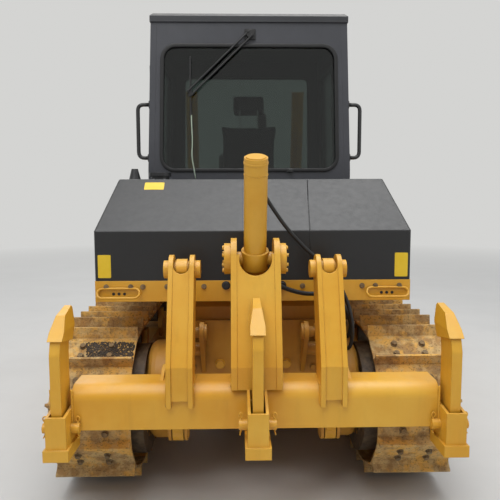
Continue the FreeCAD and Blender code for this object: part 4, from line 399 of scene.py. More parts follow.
def closed_mesh(name, shell):
    """The mesh of a finished bmesh, its normals turned outwards."""
    bmesh.ops.recalc_face_normals(shell, faces=shell.faces)
    mesh = bpy.data.meshes.new(name)
    shell.to_mesh(mesh)
    shell.free()
    return mesh


def piece(name, shell, finish, body, bevel=0.0, smooth=False):
    """A piece made of a bmesh, with its finish, on a body; a bevel rounds its edges."""
    mesh = closed_mesh(name, shell)
    mesh.materials.append(FINISHES[finish])
    thing = linked(name, mesh)
    if smooth:
        mesh.shade_smooth()
    if bevel:
        rounding = thing.modifiers.new("Rounded edges", "BEVEL")
        rounding.width = bevel
        rounding.segments = 2
        rounding.limit_method = "ANGLE"
    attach(thing, body)
    return thing


def add_box(shell, low, high):
    place = Matrix.Translation((low + high) / 2) @ Matrix.Diagonal(high - low).to_4x4()
    bmesh.ops.create_cube(shell, size=1.0, matrix=place)


def add_rod(shell, start, end, radius, sides=20):
    along = end - start
    place = Matrix.Translation((start + end) / 2) @ along.to_track_quat("Z", "Y").to_matrix().to_4x4()
    bmesh.ops.create_cone(shell, cap_ends=True, segments=sides, radius1=radius, radius2=radius,
                          depth=along.length, matrix=place)


def add_row(shell, near, far):
    """Faces between two closed outlines of as many corners."""
    for i in range(len(near)):
        shell.faces.new((near[i - 1], near[i], far[i], far[i - 1]))


def add_loft(shell, outlines):
    """Closed shape through outlines of as many points, capped at both ends."""
    rows = [[shell.verts.new(p) for p in outline] for outline in outlines]
    for near, far in zip(rows, rows[1:]):
        add_row(shell, near, far)
    shell.faces.new(rows[0])
    shell.faces.new(rows[-1])


def add_ring(shell, outer, inner, along):
    """Flat frame between two outlines of as many points, carried along a vector."""
    lines = (outer, inner, [p + along for p in inner], [p + along for p in outer])
    rows = [[shell.verts.new(p) for p in line] for line in lines]
    for k in range(4):
        add_row(shell, rows[k - 1], rows[k])


def circle(centre, radius, spoke, side, sides):
    """Points of a circle in the plane of two directions."""
    turns = [2 * math.pi * k / sides for k in range(sides)]
    return [centre + (spoke * math.cos(a) + side * math.sin(a)) * radius for a in turns]


def add_band(shell, centre, radius, inner, width, axis, sides=36):
    """Hollow band round a cylinder."""
    spoke = axis.orthogonal().normalized()
    side = axis.cross(spoke)
    start = centre - axis * width / 2
    outlines = [circle(start, r, spoke, side, sides) for r in (radius, inner)]
    add_ring(shell, *outlines, axis * width)


def add_tube(shell, points, radius, sides=10):
    """Round bar or bead along a chain of points, closed at both ends."""
    rings, normal = [], None
    for i, point in enumerate(points):
        ahead = (points[min(i + 1, len(points) - 1)] - points[max(i - 1, 0)]).normalized()
        if normal is None:
            normal = ahead.orthogonal().normalized()
        normal = (normal - ahead * normal.dot(ahead)).normalized()
        rings.append(circle(point, radius, normal, ahead.cross(normal), sides))
    add_loft(shell, rings)


def round_corners(corners, radius, steps=6):
    """Points round a closed outline whose corners are turned with a radius."""
    points = []
    for i, corner in enumerate(corners):
        before = (corners[i - 1] - corner).normalized()
        after = (corners[(i + 1) % len(corners)] - corner).normalized()
        half = before.angle(after) / 2
        reach = radius / math.tan(half)
        centre = corner + (before + after).normalized() * radius / math.sin(half)
        start, end = corner + before * reach, corner + after * reach
        for k in range(steps + 1):
            spoke = (start - centre).slerp(end - centre, k / steps)
            points.append(centre + spoke.normalized() * radius)
    return points


def grown_outline(corners, grow):
    """Corners of an upright or level four-sided outline, each moved outwards along both of its sides."""
    centre = sum(corners, Vector()) / len(corners)
    return [q + grow * Vector([math.copysign(1, c) if abs(c) > 1e-4 else 0.0 for c in q - centre])
            for q in corners]


def curve_through(points, steps=6):
    """Points of a smooth curve that passes through the given ones."""
    line = [points[0]]
    for i in range(len(points) - 1):
        before, here = points[max(i - 1, 0)], points[i]
        there, after = points[i + 1], points[min(i + 2, len(points) - 1)]
        for k in range(1, steps + 1):
            t = k / steps
            a = here * 2 + (there - before) * t
            b = (before * 2 - here * 5 + there * 4 - after) * t ** 2
            c = (here * 3 - before - there * 3 + after) * t ** 3
            line.append((a + b + c) / 2)
    return line


# ---- What repeats, by Geometry Nodes ----

WASHER_SHARE = 0.72     # a washer's radius as a share of the bolt's size across flats


def group(name, numbers, seed):
    """A Geometry Nodes tree with named inputs: points or a patch, its numbers, a seed and a finish."""
    tree = bpy.data.node_groups.new(name, "GeometryNodeTree")
    face = tree.interface
    face.new_socket("Geometry", in_out="INPUT", socket_type="NodeSocketGeometry")
    for key, default in numbers.items():
        face.new_socket(key, in_out="INPUT", socket_type="NodeSocketFloat").default_value = default
    face.new_socket("Seed", in_out="INPUT", socket_type="NodeSocketInt").default_value = seed
    face.new_socket("Finish", in_out="INPUT", socket_type="NodeSocketMaterial")
    face.new_socket("Geometry", in_out="OUTPUT", socket_type="NodeSocketGeometry")
    return tree, add(tree, "NodeGroupInput").outputs


def spread_out(tree, given, **inputs):
    """Ends a tree: instances on points, made real and given the finish."""
    spread = add(tree, "GeometryNodeInstanceOnPoints", inputs)
    whole = add(tree, "GeometryNodeRealizeInstances", {"Geometry": spread})
    done = add(tree, "GeometryNodeSetMaterial", {"Geometry": whole, "Material": given["Finish"]})
    add(tree, "NodeGroupOutput", {"Geometry": done})
    return tree


def bolt_tree():
    """A washer and a hexagon head on every point, along its aim."""
    numbers = {"Across flats": 0.03, "Head height": 0.012, "Washer": 0.022}
    tree, given = group("Hexagon bolts on points", numbers, 3)

    def share(key, part):
        return add(tree, "ShaderNodeMath", {0: given[key], 1: part}, operation="MULTIPLY")

    head = add(tree, "GeometryNodeMeshCylinder", {"Vertices": 6, "Radius": share("Across flats", 0.577),
                                                  "Depth": given["Head height"]})
    washer = add(tree, "GeometryNodeMeshCylinder", {"Vertices": 16, "Radius": given["Washer"],
                                                    "Depth": share("Head height", 0.3)})
    lift = add(tree, "ShaderNodeCombineXYZ", {"Z": share("Head height", 0.62)})
    raised = add(tree, "GeometryNodeTransform", {"Geometry": head, "Translation": lift})
    bolt = add(tree, "GeometryNodeJoinGeometry")
    tree.links.new(raised.outputs["Geometry"], bolt.inputs[0])
    tree.links.new(washer.outputs["Mesh"], bolt.inputs[0])
    aim = add(tree, "GeometryNodeInputNamedAttribute", {"Name": "aim"}, data_type="FLOAT_VECTOR")
    turn = add(tree, "FunctionNodeAlignRotationToVector", {"Vector": aim}, axis="Z")
    spin = add(tree, "FunctionNodeRandomValue", {"Max": FULL_TURN, "Seed": given["Seed"]}, data_type="FLOAT")
    about = add(tree, "FunctionNodeAxisAngleToRotation", {"Axis": UPWARD, "Angle": spin})
    turned = add(tree, "FunctionNodeRotateRotation", {"Rotation": turn, "Rotate By": about},
                 rotation_space="LOCAL")
    return spread_out(tree, given, Points=given["Geometry"], Instance=bolt, Rotation=turned)


def pebble_tree():
    """Rough stones of mixed sizes strewn over a patch."""
    tree, given = group("Gravel on a patch", {"Density": 9000.0, "Smallest": 0.0025, "Largest": 0.007}, 11)
    seed = given["Seed"]
    points = add(tree, "GeometryNodeDistributePointsOnFaces", {"Mesh": given["Geometry"], "Seed": seed,
                                                               "Density": given["Density"]})
    stone = add(tree, "GeometryNodeMeshIcoSphere", {"Radius": 1.0, "Subdivisions": 1})
    scale, turn = (add(tree, "FunctionNodeRandomValue", {"Min": low, "Max": high, "Seed": seed},
                       data_type="FLOAT_VECTOR")
                   for low, high in ((given["Smallest"], given["Largest"]), ([0.0] * 3, [FULL_TURN] * 3)))
    return spread_out(tree, given, Points=points, Instance=stone, Rotation=turn, Scale=scale)


def grown(name, mesh, tree, inputs, body):
    """Runs a Geometry Nodes tree on a mesh and keeps the result as a plain piece."""
    thing = linked(name, mesh)
    modifier = thing.modifiers.new("Grown", "NODES")
    modifier.node_group = tree
    sockets = {item.name: item.identifier for item in tree.interface.items_tree if item.in_out == "INPUT"}
    for key, value in inputs.items():
        modifier[sockets[key]] = value
    result = bpy.data.meshes.new_from_object(evaluated(thing))
    thing.modifiers.remove(modifier)
    if not result.polygons:
        raise RuntimeError(name + " came out empty")
    thing.data = result
    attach(thing, body)


def bolts(name, places, body, across, height, finish, seed):
    """Hexagon bolts at (place, aim) pairs on one body."""
    mesh = bpy.data.meshes.new(name)
    mesh.from_pydata([place for place, _ in places], [], [])
    aims = mesh.attributes.new("aim", "FLOAT_VECTOR", "POINT")
    aims.data.foreach_set("vector", [v for _, aim in places for v in aim])
    tree = bpy.data.node_groups.get("Hexagon bolts on points") or bolt_tree()
    grown(name, mesh, tree, {"Across flats": across, "Head height": height, "Washer": across * WASHER_SHARE,
                             "Seed": seed, "Finish": FINISHES[finish]}, body)


# ---- Stage ----

BACKDROP = "#DEDEDC"
BACKDROP_STRENGTH = 0.9
SKY_STRENGTH = 0.42
FADE_FROM, FADE_TO = 4.0, 16.0
# name, place, aim, size, power
LAMPS = (
    ("key", (-3.0, -7.5, 10.0), (0, 0, 1.0), 6.0, 420.0),
    ("top", (1.0, -1.5, 11.0), (0, 0, 0.5), 9.0, 900.0),
    ("fill", (8.0, -5.0, 4.0), (0, 0, 1.2), 6.0, 60.0),
    ("front", (-3.0, 10.0, 8.0), (0, 0, 1.0), 6.0, 260.0),
)


class StageSizes(bpy.types.PropertyGroup):
    floor: FloatProperty(name="Floor", description="Width of the floor", default=60.0, unit="LENGTH")
    view_x: FloatProperty(name="Camera X", description="Camera to the right of the machine's middle",
                          default=-0.098, unit="LENGTH")
    view_back: FloatProperty(name="Camera back", description="Camera behind the sprocket axle",
                             default=3.525, unit="LENGTH")
    view_z: FloatProperty(name="Camera height", description="Camera above the floor",
                          default=1.82, unit="LENGTH")
    yaw: FloatProperty(name="Yaw", description="Turn to the right",
                       default=math.radians(1.33), subtype="ANGLE")
    pitch: FloatProperty(name="Pitch", description="Turn downwards",
                         default=math.radians(5.72), subtype="ANGLE")
    roll: FloatProperty(name="Roll", description="Turn about the view",
                        default=math.radians(-0.14), subtype="ANGLE")
    lens: FloatProperty(name="Lens", description="Focal length in millimetres", default=40.6)


def pale_floor(width):
    """Smooth floor that fades into the backdrop's own tone far from the machine, so no horizon shows."""
    half = width / 2
    mesh = bpy.data.meshes.new("floor")
    corners = [(-half, -half, 0), (half, -half, 0), (half, half, 0), (-half, half, 0)]
    mesh.from_pydata(corners, [], [(0, 1, 2, 3)])
    material, tree, shader = new_material("Pale smooth floor")
    tone = coats(tree, "#C9C8C5", ("#CFCECB", patches(tree, 900)))
    feed(tree, shader, {"Base Color": tone, "Roughness": 0.75})
    place = add(tree, "ShaderNodeTexCoord").outputs["Object"]
    reach = add(tree, "ShaderNodeVectorMath", {0: place}, operation="LENGTH").outputs["Value"]
    far = add(tree, "ShaderNodeMapRange", {"Value": reach, "From Min": FADE_FROM, "From Max": FADE_TO})
    glow = add(tree, "ShaderNodeEmission", {"Color": linear(BACKDROP), "Strength": BACKDROP_STRENGTH})
    joined = add(tree, "ShaderNodeMixShader", {0: far, 1: shader, 2: glow})
    feed(tree, next(n for n in tree.nodes if n.type == "OUTPUT_MATERIAL"), {"Surface": joined})
    mesh.materials.append(material)
    linked("floor", mesh)


def soft_world(scene):
    """Even pale backdrop for the camera, mirrors and glass, and a weaker cool sky that lights the machine."""
    scene.world = bpy.data.worlds.new("Soft studio")
    scene.world.use_nodes = True
    tree = scene.world.node_tree
    tree.nodes.clear()
    path = add(tree, "ShaderNodeLightPath")
    seen = path.outputs["Is Camera Ray"]
    for ray in ("Is Glossy Ray", "Is Transmission Ray"):
        seen = add(tree, "ShaderNodeMath", {0: seen, 1: path.outputs[ray]}, operation="MAXIMUM")
    colour = coats(tree, "#D9DEE6", (BACKDROP, seen))
    strength = add(tree, "ShaderNodeMapRange", {"Value": seen, "To Min": SKY_STRENGTH,
                                                "To Max": BACKDROP_STRENGTH})
    sky = add(tree, "ShaderNodeBackground", {"Color": colour, "Strength": strength})
    add(tree, "ShaderNodeOutputWorld", {"Surface": sky})


class STAGE_OT_build(bpy.types.Operator):
    """Pale floor, soft light and the camera"""
    bl_idname = "bulldozer.stage"
    bl_label = "Stage"

    def execute(self, context):
        sizes = context.scene.bulldozer_stage
        pale_floor(sizes.floor)
        soft_world(context.scene)
        for name, place, aim, size, power in LAMPS:
            light = bpy.data.lights.new(name, "AREA")
            light.energy = power
            light.size = size
            lamp = linked(name, light)
            lamp.location = place
            lamp.rotation_euler = (Vector(aim) - Vector(place)).to_track_quat("-Z", "Y").to_euler()
        data = bpy.data.cameras.new("camera")
        data.lens = sizes.lens
        data.sensor_width = 36.0
        data.clip_end = 200.0
        camera = linked("camera", data)
        place = Matrix.Translation(from_axle(sizes.view_x, -sizes.view_back, sizes.view_z))
        turn = Matrix.Rotation(-sizes.yaw, 4, "Z") @ Matrix.Rotation(math.pi / 2 - sizes.pitch, 4, "X")
        camera.matrix_world = place @ turn @ Matrix.Rotation(sizes.roll, 4, "Z")
        context.scene.camera = camera
        context.scene.view_settings.view_transform = "Standard"
        return {"FINISHED"}


# ---- Cab: places are measured from the axle ----

CAB_HALF = 0.760
CAB_KNEE = 1.995
CAB_LEAN = 0.038 / 1.075
WALL_FACE = 0.7605
# corners as (x, z) on the end walls, as (y, z) on the sides
REAR_WINDOW = ((-0.662, 1.995), (0.662, 1.995), (0.638, 2.905), (-0.638, 2.905))
FRONT_WINDOW = ((-0.620, 1.640), (0.620, 1.640), (0.600, 2.930), (-0.600, 2.930))
DOOR_WINDOW = ((1.260, 1.660), (1.880, 1.660), (1.880, 2.870), (1.260, 2.870))
QUARTER_WINDOW = ((0.830, 2.055), (1.110, 2.055), (1.110, 2.920), (0.830, 2.920))
SIDE_CORNER = 0.03
HANDLE_Y, HANDLE_Z = 1.915, (1.690, 1.870)
RAIL_X, RAIL_Y, RAIL_Z, RAIL_BEND = 0.835, 0.800, (2.089, 2.483), 0.045
GUTTER = 0.012


def side_place(side, y, z, out=0.0):
    """A place on the cab's side, whose wall leans in above the knee."""
    lean = max(0.0, z - CAB_KNEE) * CAB_LEAN
    return Vector((side * (CAB_HALF - lean + out), y + AXLE.y, z))


class WindowSizes(bpy.types.PropertyGroup):
    seal_out: FloatProperty(name="Seal on wall", description="Rubber outside the opening",
                            default=0.014, unit="LENGTH")
    seal_in: FloatProperty(name="Seal on glass", description="Rubber over the glass",
                           default=0.013, unit="LENGTH")
    bead: FloatProperty(name="Side bead", description="Radius of the side windows' rubber bead",
                        default=0.010, unit="LENGTH")


def flat_seal(corners, radius, wall, pane, sizes):
    """Rubber frame of an end window, from the wall's face to the pane, lapping both."""
    places = [from_axle(x, wall, z) for x, z in corners]
    rings = [round_corners(grown_outline(places, grow), radius + grow, 8)
             for grow in (sizes.seal_out, -sizes.seal_in)]
    shell = bmesh.new()
    add_ring(shell, *rings, Vector((0, pane - wall, 0)))
    return shell


def bead_seal(side, corners, radius):
    """Rubber bead round a side window, bent where the wall has its knee."""
    flat = round_corners([Vector((y, z, 0)) for y, z in corners], SIDE_CORNER, 4)
    low = Vector(((corners[0][0] + corners[1][0]) / 2, corners[0][1], 0))
    nearest = min(range(len(flat)), key=lambda i: (flat[i] - low).length)
    order = [low] + flat[nearest + 1:] + flat[:nearest + 1] + [low]
    kneed = []
    for a, b in zip(order, order[1:]):
        kneed.append(a)
        if (a.y - CAB_KNEE) * (b.y - CAB_KNEE) < 0:
            kneed.append(a.lerp(b, (CAB_KNEE - a.y) / (b.y - a.y)))
    kneed.append(order[-1])
    shell = bmesh.new()
    add_tube(shell, [side_place(side, q.x, q.y) for q in kneed], radius, 8)
    return shell


class WINDOWS_OT_build(bpy.types.Operator):
    """Rubber seals of all the cab's windows"""
    bl_idname = "bulldozer.windows"
    bl_label = "Window seals"

    def execute(self, context):
        sizes = context.scene.bulldozer_windows
        # name, corners, corner radius, seal's outer face, pane's face
        for name, corners, radius, wall, pane in (("rear_window_seal", REAR_WINDOW, 0.100, 0.751, 0.7738),
                                                  ("windscreen_seal", FRONT_WINDOW, 0.060, 2.089, 2.0662)):
            piece(name, flat_seal(corners, radius, wall, pane, sizes), "rubber", "chassis", 0.004, True)
        for side, hand in SIDES:
            for name, corners, body in (("door_seal_", DOOR_WINDOW, "door_" + hand),
                                        ("quarter_seal_", QUARTER_WINDOW, "chassis")):
                piece(name + hand, bead_seal(side, corners, sizes.bead), "rubber", body, 0.0, True)
        return {"FINISHED"}


WIPER_PIVOT, WIPER_TIP = (0.005, 0.738, 2.985), (-0.440, 0.738, 2.560)
WIPER_GAP = (0.014, 0, -0.013)      # from the arm's middle to each of its two rods
WIPER_X, WIPER_Z = -0.436, (2.394, 2.826)
LATCH = (0.304, 0.747, 1.989)
WASHER_ROUTE = ((-0.432, 0.752, 2.400), (-0.430, 0.744, 2.330), (-0.426, 0.744, 2.210),
                (-0.430, 0.742, 2.100), (-0.416, 0.744, 2.000), (-0.408, 0.752, 1.945),
                (-0.408, 0.768, 1.925))


class WiperSizes(bpy.types.PropertyGroup):
    rod: FloatProperty(name="Wiper rod", description="Radius of the two wiper rods",
                       default=0.0075, unit="LENGTH")
    blade: FloatProperty(name="Blade", description="Width of the wiper blade", default=0.012, unit="LENGTH")


class WIPER_OT_build(bpy.types.Operator):
    """Rear wiper with its washer pipe, and the window's latch"""
    bl_idname = "bulldozer.wiper"
    bl_label = "Rear wiper and latch"

    def execute(self, context):
        sizes = context.scene.bulldozer_wiper
        pivot, tip = from_axle(*WIPER_PIVOT), from_axle(*WIPER_TIP)
        across = Vector(WIPER_GAP)
        stub = Vector((0, 0.010, 0))
        shell = bmesh.new()
        for shift in (-across, across):
            add_rod(shell, pivot + shift, tip + shift, sizes.rod, 8)
            for end in (pivot + shift, tip + shift):
                add_rod(shell, end - stub, end + stub, 0.009, 10)
        add_rod(shell, from_axle(0.005, 0.732, 2.985), from_axle(0.005, WALL_FACE, 2.985), 0.028, 18)
        add_box(shell, from_axle(-0.035, 0.748, 2.945), from_axle(0.045, WALL_FACE, 3.020))
        add_box(shell, from_axle(-0.452, 0.740, 2.535), from_axle(-0.424, 0.752, 2.585))
        piece("wiper_arm", shell, "rubber", "chassis", 0.0015)

        shell = bmesh.new()
        half = sizes.blade / 2
        foot, top = WIPER_Z
        add_box(shell, from_axle(WIPER_X - half, 0.748, foot), from_axle(WIPER_X + half, 0.7595, top))
        add_box(shell, from_axle(WIPER_X - 0.0025, 0.7590, foot - 0.004),
                from_axle(WIPER_X + 0.0025, 0.7735, top + 0.004))
        piece("wiper_blade", shell, "rubber", "chassis", 0.001)

        shell = bmesh.new()
        add_tube(shell, curve_through([from_axle(*q) for q in WASHER_ROUTE]), 0.0045, 8)
        piece("washer_pipe", shell, "hose_green", "chassis", 0.0, True)

        shell = bmesh.new()
        x, y, z = LATCH
        add_box(shell, from_axle(x - 0.024, y - 0.002, z - 0.015), from_axle(x + 0.024, WALL_FACE, z + 0.015))
        add_rod(shell, from_axle(x, y - 0.020, z), from_axle(x, y, z), 0.011, 14)
        piece("window_latch", shell, "black", "chassis", 0.002)
        return {"FINISHED"}


def door_handle(side):
    """Bow handle on a door, with the lock above it."""
    foot, top = HANDLE_Z
    shell = bmesh.new()
    line = [side_place(side, HANDLE_Y, foot, -0.004)]
    line += [side_place(side, HANDLE_Y, z, 0.034) + UPWARD * up
             for z, up in ((foot + 0.01, 0.004), (foot + 0.01, 0.02),
                           (top - 0.01, -0.02), (top - 0.01, -0.004))]
    line.append(side_place(side, HANDLE_Y, top, -0.004))
    add_tube(shell, line, 0.008, 10)
    lock = HANDLE_Y, top + 0.055
    add_rod(shell, side_place(side, *lock, -0.002), side_place(side, *lock, 0.010), 0.016, 18)
    return shell


def grab_rail(side):
    """Upright rail beside the rear window, bent in to its round feet on the cab's side."""
    low, high = (side_place(side, RAIL_Y, z, -0.004) for z in RAIL_Z)
    foot, top = (Vector((side * RAIL_X, RAIL_Y + AXLE.y, z)) for z in RAIL_Z)
    line = [low]
    for corner, before, after in ((foot, low, top), (top, foot, high)):
        into, away = (before - corner).normalized() * RAIL_BEND, (after - corner).normalized() * RAIL_BEND
        line += [corner + into * (1 - t) ** 2 + away * t ** 2 for t in (0, 0.2, 0.4, 0.6, 0.8, 1.0)]
    shell = bmesh.new()
    add_tube(shell, line + [high], 0.0145, 14)
    for z in RAIL_Z:
        add_rod(shell, side_place(side, RAIL_Y, z, -0.001), side_place(side, RAIL_Y, z, 0.008), 0.030, 20)
    return shell


def drip_rail():
    """Gutter that hangs under the roof's edge."""
    low, high = corners_of("cab_roof")
    corners = [Vector((x, y, low.z - GUTTER)) for x, y in (
        (low.x + 0.012, low.y + 0.02), (high.x - 0.012, low.y + 0.02),
        (high.x - 0.012, high.y - 0.075), (low.x + 0.012, high.y - 0.075))]
    rings = [round_corners(grown_outline(corners, grow), radius, 3)
             for grow, radius in ((0.004, 0.02), (-0.006, 0.012))]
    shell = bmesh.new()
    add_ring(shell, *rings, UPWARD * GUTTER)
    return shell


class CAB_OT_fittings(bpy.types.Operator):
    """Door handles, locks, grab rails and the drip rail under the roof"""
    bl_idname = "bulldozer.cab_fittings"
    bl_label = "Cab fittings"

    def execute(self, context):
        for side, hand in SIDES:
            piece("door_handle_" + hand, door_handle(side), "black", "door_" + hand, 0.001)
        rails = [piece("grab_rail_" + hand, grab_rail(side), "black", "chassis", 0.0, True)
                 for side, hand in SIDES]
        for rail in rails:
            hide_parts("handrails")
        piece("drip_rail", drip_rail(), "cab", "chassis", 0.001)
        return {"FINISHED"}


# ---- Seat ----

CLOTH_FRAMES = 20
PAD_BEVEL = 0.022
PIPING = ((-0.236, 1.150), (0.236, 1.150), (0.236, 1.590), (-0.236, 1.590))
PIPING_Z = 1.702
PAD_FACES = ((0, 2, 3, 1), (4, 5, 7, 6), (0, 1, 5, 4), (2, 6, 7, 3), (0, 4, 6, 2), (1, 3, 7, 5))
# name, foot, top, rear, front, half width, lean of the top
PADS = (
    ("seat_squab", 1.622, 1.705, 1.135, 1.600, 0.232, 0.0),
    ("seat_back", 1.705, 2.365, 1.108, 1.188, 0.228, -0.062),
    ("seat_head_pad", 2.440, 2.590, 1.062, 1.118, 0.120, -0.012),
)


class SeatSizes(bpy.types.PropertyGroup):
    voxel: FloatProperty(name="Voxel", description="Grain of the cushion's mesh before it swells",
                         default=0.007, unit="LENGTH")
    pressure: FloatProperty(name="Pressure", description="Air pressure inside the cushion", default=4.0)
    swell: FloatProperty(name="Swell", description="How far a point may move", default=0.024, unit="LENGTH")
    fill: FloatProperty(name="Fill", description="How full the cushion is", default=0.7, subtype="FACTOR")


def swollen(name, mesh, sizes):
    """A cushion blown up a little by cloth simulation, its result applied."""
    thing = linked(name, mesh)
    remesh = thing.modifiers.new("Grain", "REMESH")
    remesh.mode = "VOXEL"
    remesh.voxel_size = sizes.voxel
    start = bpy.data.meshes.new_from_object(evaluated(thing))
    thing.modifiers.remove(remesh)
    thing.data = start
    cloth = thing.modifiers.new("Air", "CLOTH")
    cloth.settings.use_pressure = True
    cloth.settings.uniform_pressure_force = sizes.pressure
    cloth.settings.effector_weights.gravity = 0.0
    cloth.settings.quality = 4
    cloth.collision_settings.use_collision = False
    for number in range(1, CLOTH_FRAMES + 1):
        bpy.context.scene.frame_set(number)
    blown = [v.co.copy() for v in evaluated(thing).data.vertices]
    thing.modifiers.remove(cloth)
    bpy.context.scene.frame_set(1)
    for vertex, place in zip(start.vertices, blown):
        move = place - vertex.co
        vertex.co += move.normalized() * min(move.length, sizes.swell)
    finer = thing.modifiers.new("Smooth", "SUBSURF")
    finer.levels = 1
    finer.render_levels = 1
    start.shade_smooth()
    return thing


class SEAT_OT_build(bpy.types.Operator):
    """Soft cushions of the operator's seat, their piping and the head pad's posts"""
    bl_idname = "bulldozer.seat"
    bl_label = "Seat cushions"

    def execute(self, context):
        sizes = context.scene.bulldozer_seat
        made = []
        for name, foot, top, rear, front, half, lean in PADS:
            shell = bmesh.new()
            corners = [shell.verts.new(from_axle(x, y + shift, z)) for z, shift in ((foot, 0.0), (top, lean))
                       for y in (rear, front) for x in (-half, half)]
            for face in PAD_FACES:
                shell.faces.new([corners[i] for i in face])
            bmesh.ops.bevel(shell, geom=list(shell.edges), offset=PAD_BEVEL, segments=3, profile=0.6,
                            affect="EDGES")
            pad = swollen(name, closed_mesh(name, shell), sizes)
            pad.data.materials.clear()
            pad.data.materials.append(FINISHES["cloth"])
            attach(pad, "chassis")
            made.append(pad)

        shell = bmesh.new()
        for x in (-0.070, 0.070):
            add_rod(shell, from_axle(x, 1.052, 2.330), from_axle(x, 1.058, 2.480), 0.006, 12)
        made.append(piece("head_pad_posts", shell, "chrome", "chassis"))

        shell = bmesh.new()
        line = round_corners([from_axle(*corner, PIPING_Z) for corner in PIPING], 0.06, 5)
        add_tube(shell, line + line[:1], 0.005, 8)
        made.append(piece("seat_piping", shell, "rubber", "chassis", 0.0, True))
        for thing in made:
            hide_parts("seat_cushions")
        return {"FINISHED"}


# ---- Tank ----

LABELS = ((-0.692, -0.566, 1.846, 1.892), (-0.918, -0.842, 1.325, 1.462), (0.842, 0.920, 1.325, 1.468))
CAP_X, CAP_Y, CAP_BOLTS = -0.630, 0.450, 0.075
PLATE_BOLTS = (-0.656, -0.514, -0.295, 0.292, 0.648, -0.872, -0.728, 0.728, 0.872)
PLATE_BOLTS_LARGE = (-0.164, 0.169)
PLATE_HOLES = (0.766, 0.798, 0.830)


class TankSizes(bpy.types.PropertyGroup):
    label: FloatProperty(name="Label", description="Thickness of the blank labels",
                         default=0.0015, unit="LENGTH")
    seam: FloatProperty(name="Seam", description="Radius of the weld seam", default=0.0035, unit="LENGTH")


def on_tank(x, z, out=0.0):
    """A place on the tank's rear, upright below the shoulder and leaning above it."""
    if z <= TANK_SHOULDER:
        return Vector((x, TANK_REAR - out, z))
    slope = (TANK_TOP_REAR - TANK_REAR) / (TANK_TOP - TANK_SHOULDER)
    leaning = Vector((0, -1, slope)).normalized()
    return Vector((x, TANK_REAR + (z - TANK_SHOULDER) * slope, z)) + leaning * out


class TANK_OT_fittings(bpy.types.Operator):
    """Weld seam, blank labels, plate bolts, black discs as painted shade in the plate's holes, and the
    filler's screws
    """
    bl_idname = "bulldozer.tank"
    bl_label = "Tank fittings"

    def execute(self, context):
        sizes = context.scene.bulldozer_tank
        shell = bmesh.new()
        line = ((0.366, 1.905), (0.349, 1.760), (0.334, TANK_SHOULDER + 0.004), (0.333, TANK_SHOULDER - 0.01),
                (0.346, TANK_BOTTOM + 0.006))
        add_tube(shell, [on_tank(x, z) for x, z in line], sizes.seam, 8)
        piece("tank_seam", shell, "tank", "chassis", 0.0, True)

        shell = bmesh.new()
        for x0, x1, z0, z1 in LABELS:
            corners = [on_tank(x, z, -0.0004) for x, z in ((x0, z0), (x1, z0), (x1, z1), (x0, z1))]
            away = on_tank(x0, z0, 1.0) - on_tank(x0, z0)
            outline = round_corners(corners, 0.006, 3)
            add_loft(shell, (outline, [q + away * sizes.label for q in outline]))
        piece("tank_labels", shell, "label", "chassis")

        def row(drop, xs):
            """Places across the plate under the tank."""
            return [(Vector((x, TANK_REAR - 0.002, TANK_BOTTOM - drop)), REARWARD) for x in xs]

        bolts("plate_bolts", row(0.036, PLATE_BOLTS), "chassis", 0.022, 0.010, "worn_steel", 5)
        bolts("plate_bolts_large", row(0.030, PLATE_BOLTS_LARGE), "chassis", 0.036, 0.014, "black", 6)
        turns = [k * math.pi / 3 for k in range(6)]
        screws = [(from_axle(CAP_X + CAP_BOLTS * math.cos(a), CAP_Y + CAP_BOLTS * math.sin(a),
                             TANK_TOP + 0.0015), UPWARD) for a in turns]
        bolts("filler_screws", screws, "chassis", 0.012, 0.005, "zinc", 7)

        # black discs stand for the holes in the plate under the tank: painted shade
        shell = bmesh.new()
        for side in (-1, 1):
            for x in PLATE_HOLES:
                at = Vector((side * x, TANK_REAR, TANK_BOTTOM - 0.078))
                add_rod(shell, at - REARWARD * 0.004, at + REARWARD * 0.0012, 0.009, 14)
        piece("plate_hole_shade_discs", shell, "rubber", "chassis")
        return {"FINISHED"}


# ---- Tracks and drives ----

SHOES = 37
SHOE_HALF = 0.230       # half of a shoe's width
PLATE_LENGTHS = (0.13, 0.17)
BOLT_ROWS = (-0.038, 0.036)
GRAVEL_TILT = 0.75      # height of the unit normal of the shoe that carries the gravel
# x from the patch's inner edge, and along the shoe
GRAVEL_PATCH = ((-0.305, -0.072), (-0.006, -0.072), (-0.006, 0.070), (-0.275, 0.070))
HUB_RINGS = ((0.096, 8, 0.0, 0.024), (0.160, 12, -0.040, 0.030))
RIM_RING = (0.285, 23, 0.038, 0.028)
CASE_X, CASE_RADIUS, CASE_BOLTS = 0.6525, 0.225, 9


def grouped_faces(node, chosen, key):
    """Faces of a node's mesh that pass a test, gathered by what they share."""
    groups = {}
    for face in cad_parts[node].data.polygons:
        if chosen(face):
            groups.setdefault(key(face), []).append(face)
    return list(groups.values())


def face_corners(node, faces):
    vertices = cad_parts[node].data.vertices
    return [vertices[i].co for face in faces for i in face.vertices]


def spans_of(corners):
    return [(min(c[k] for c in corners), max(c[k] for c in corners)) for k in range(3)]


def plane_of(face):
    """Rounded normal and distance of the plane that a face lies in."""
    return round(face.normal.y, 2), round(face.normal.z, 2), round(face.center.dot(face.normal), 2)


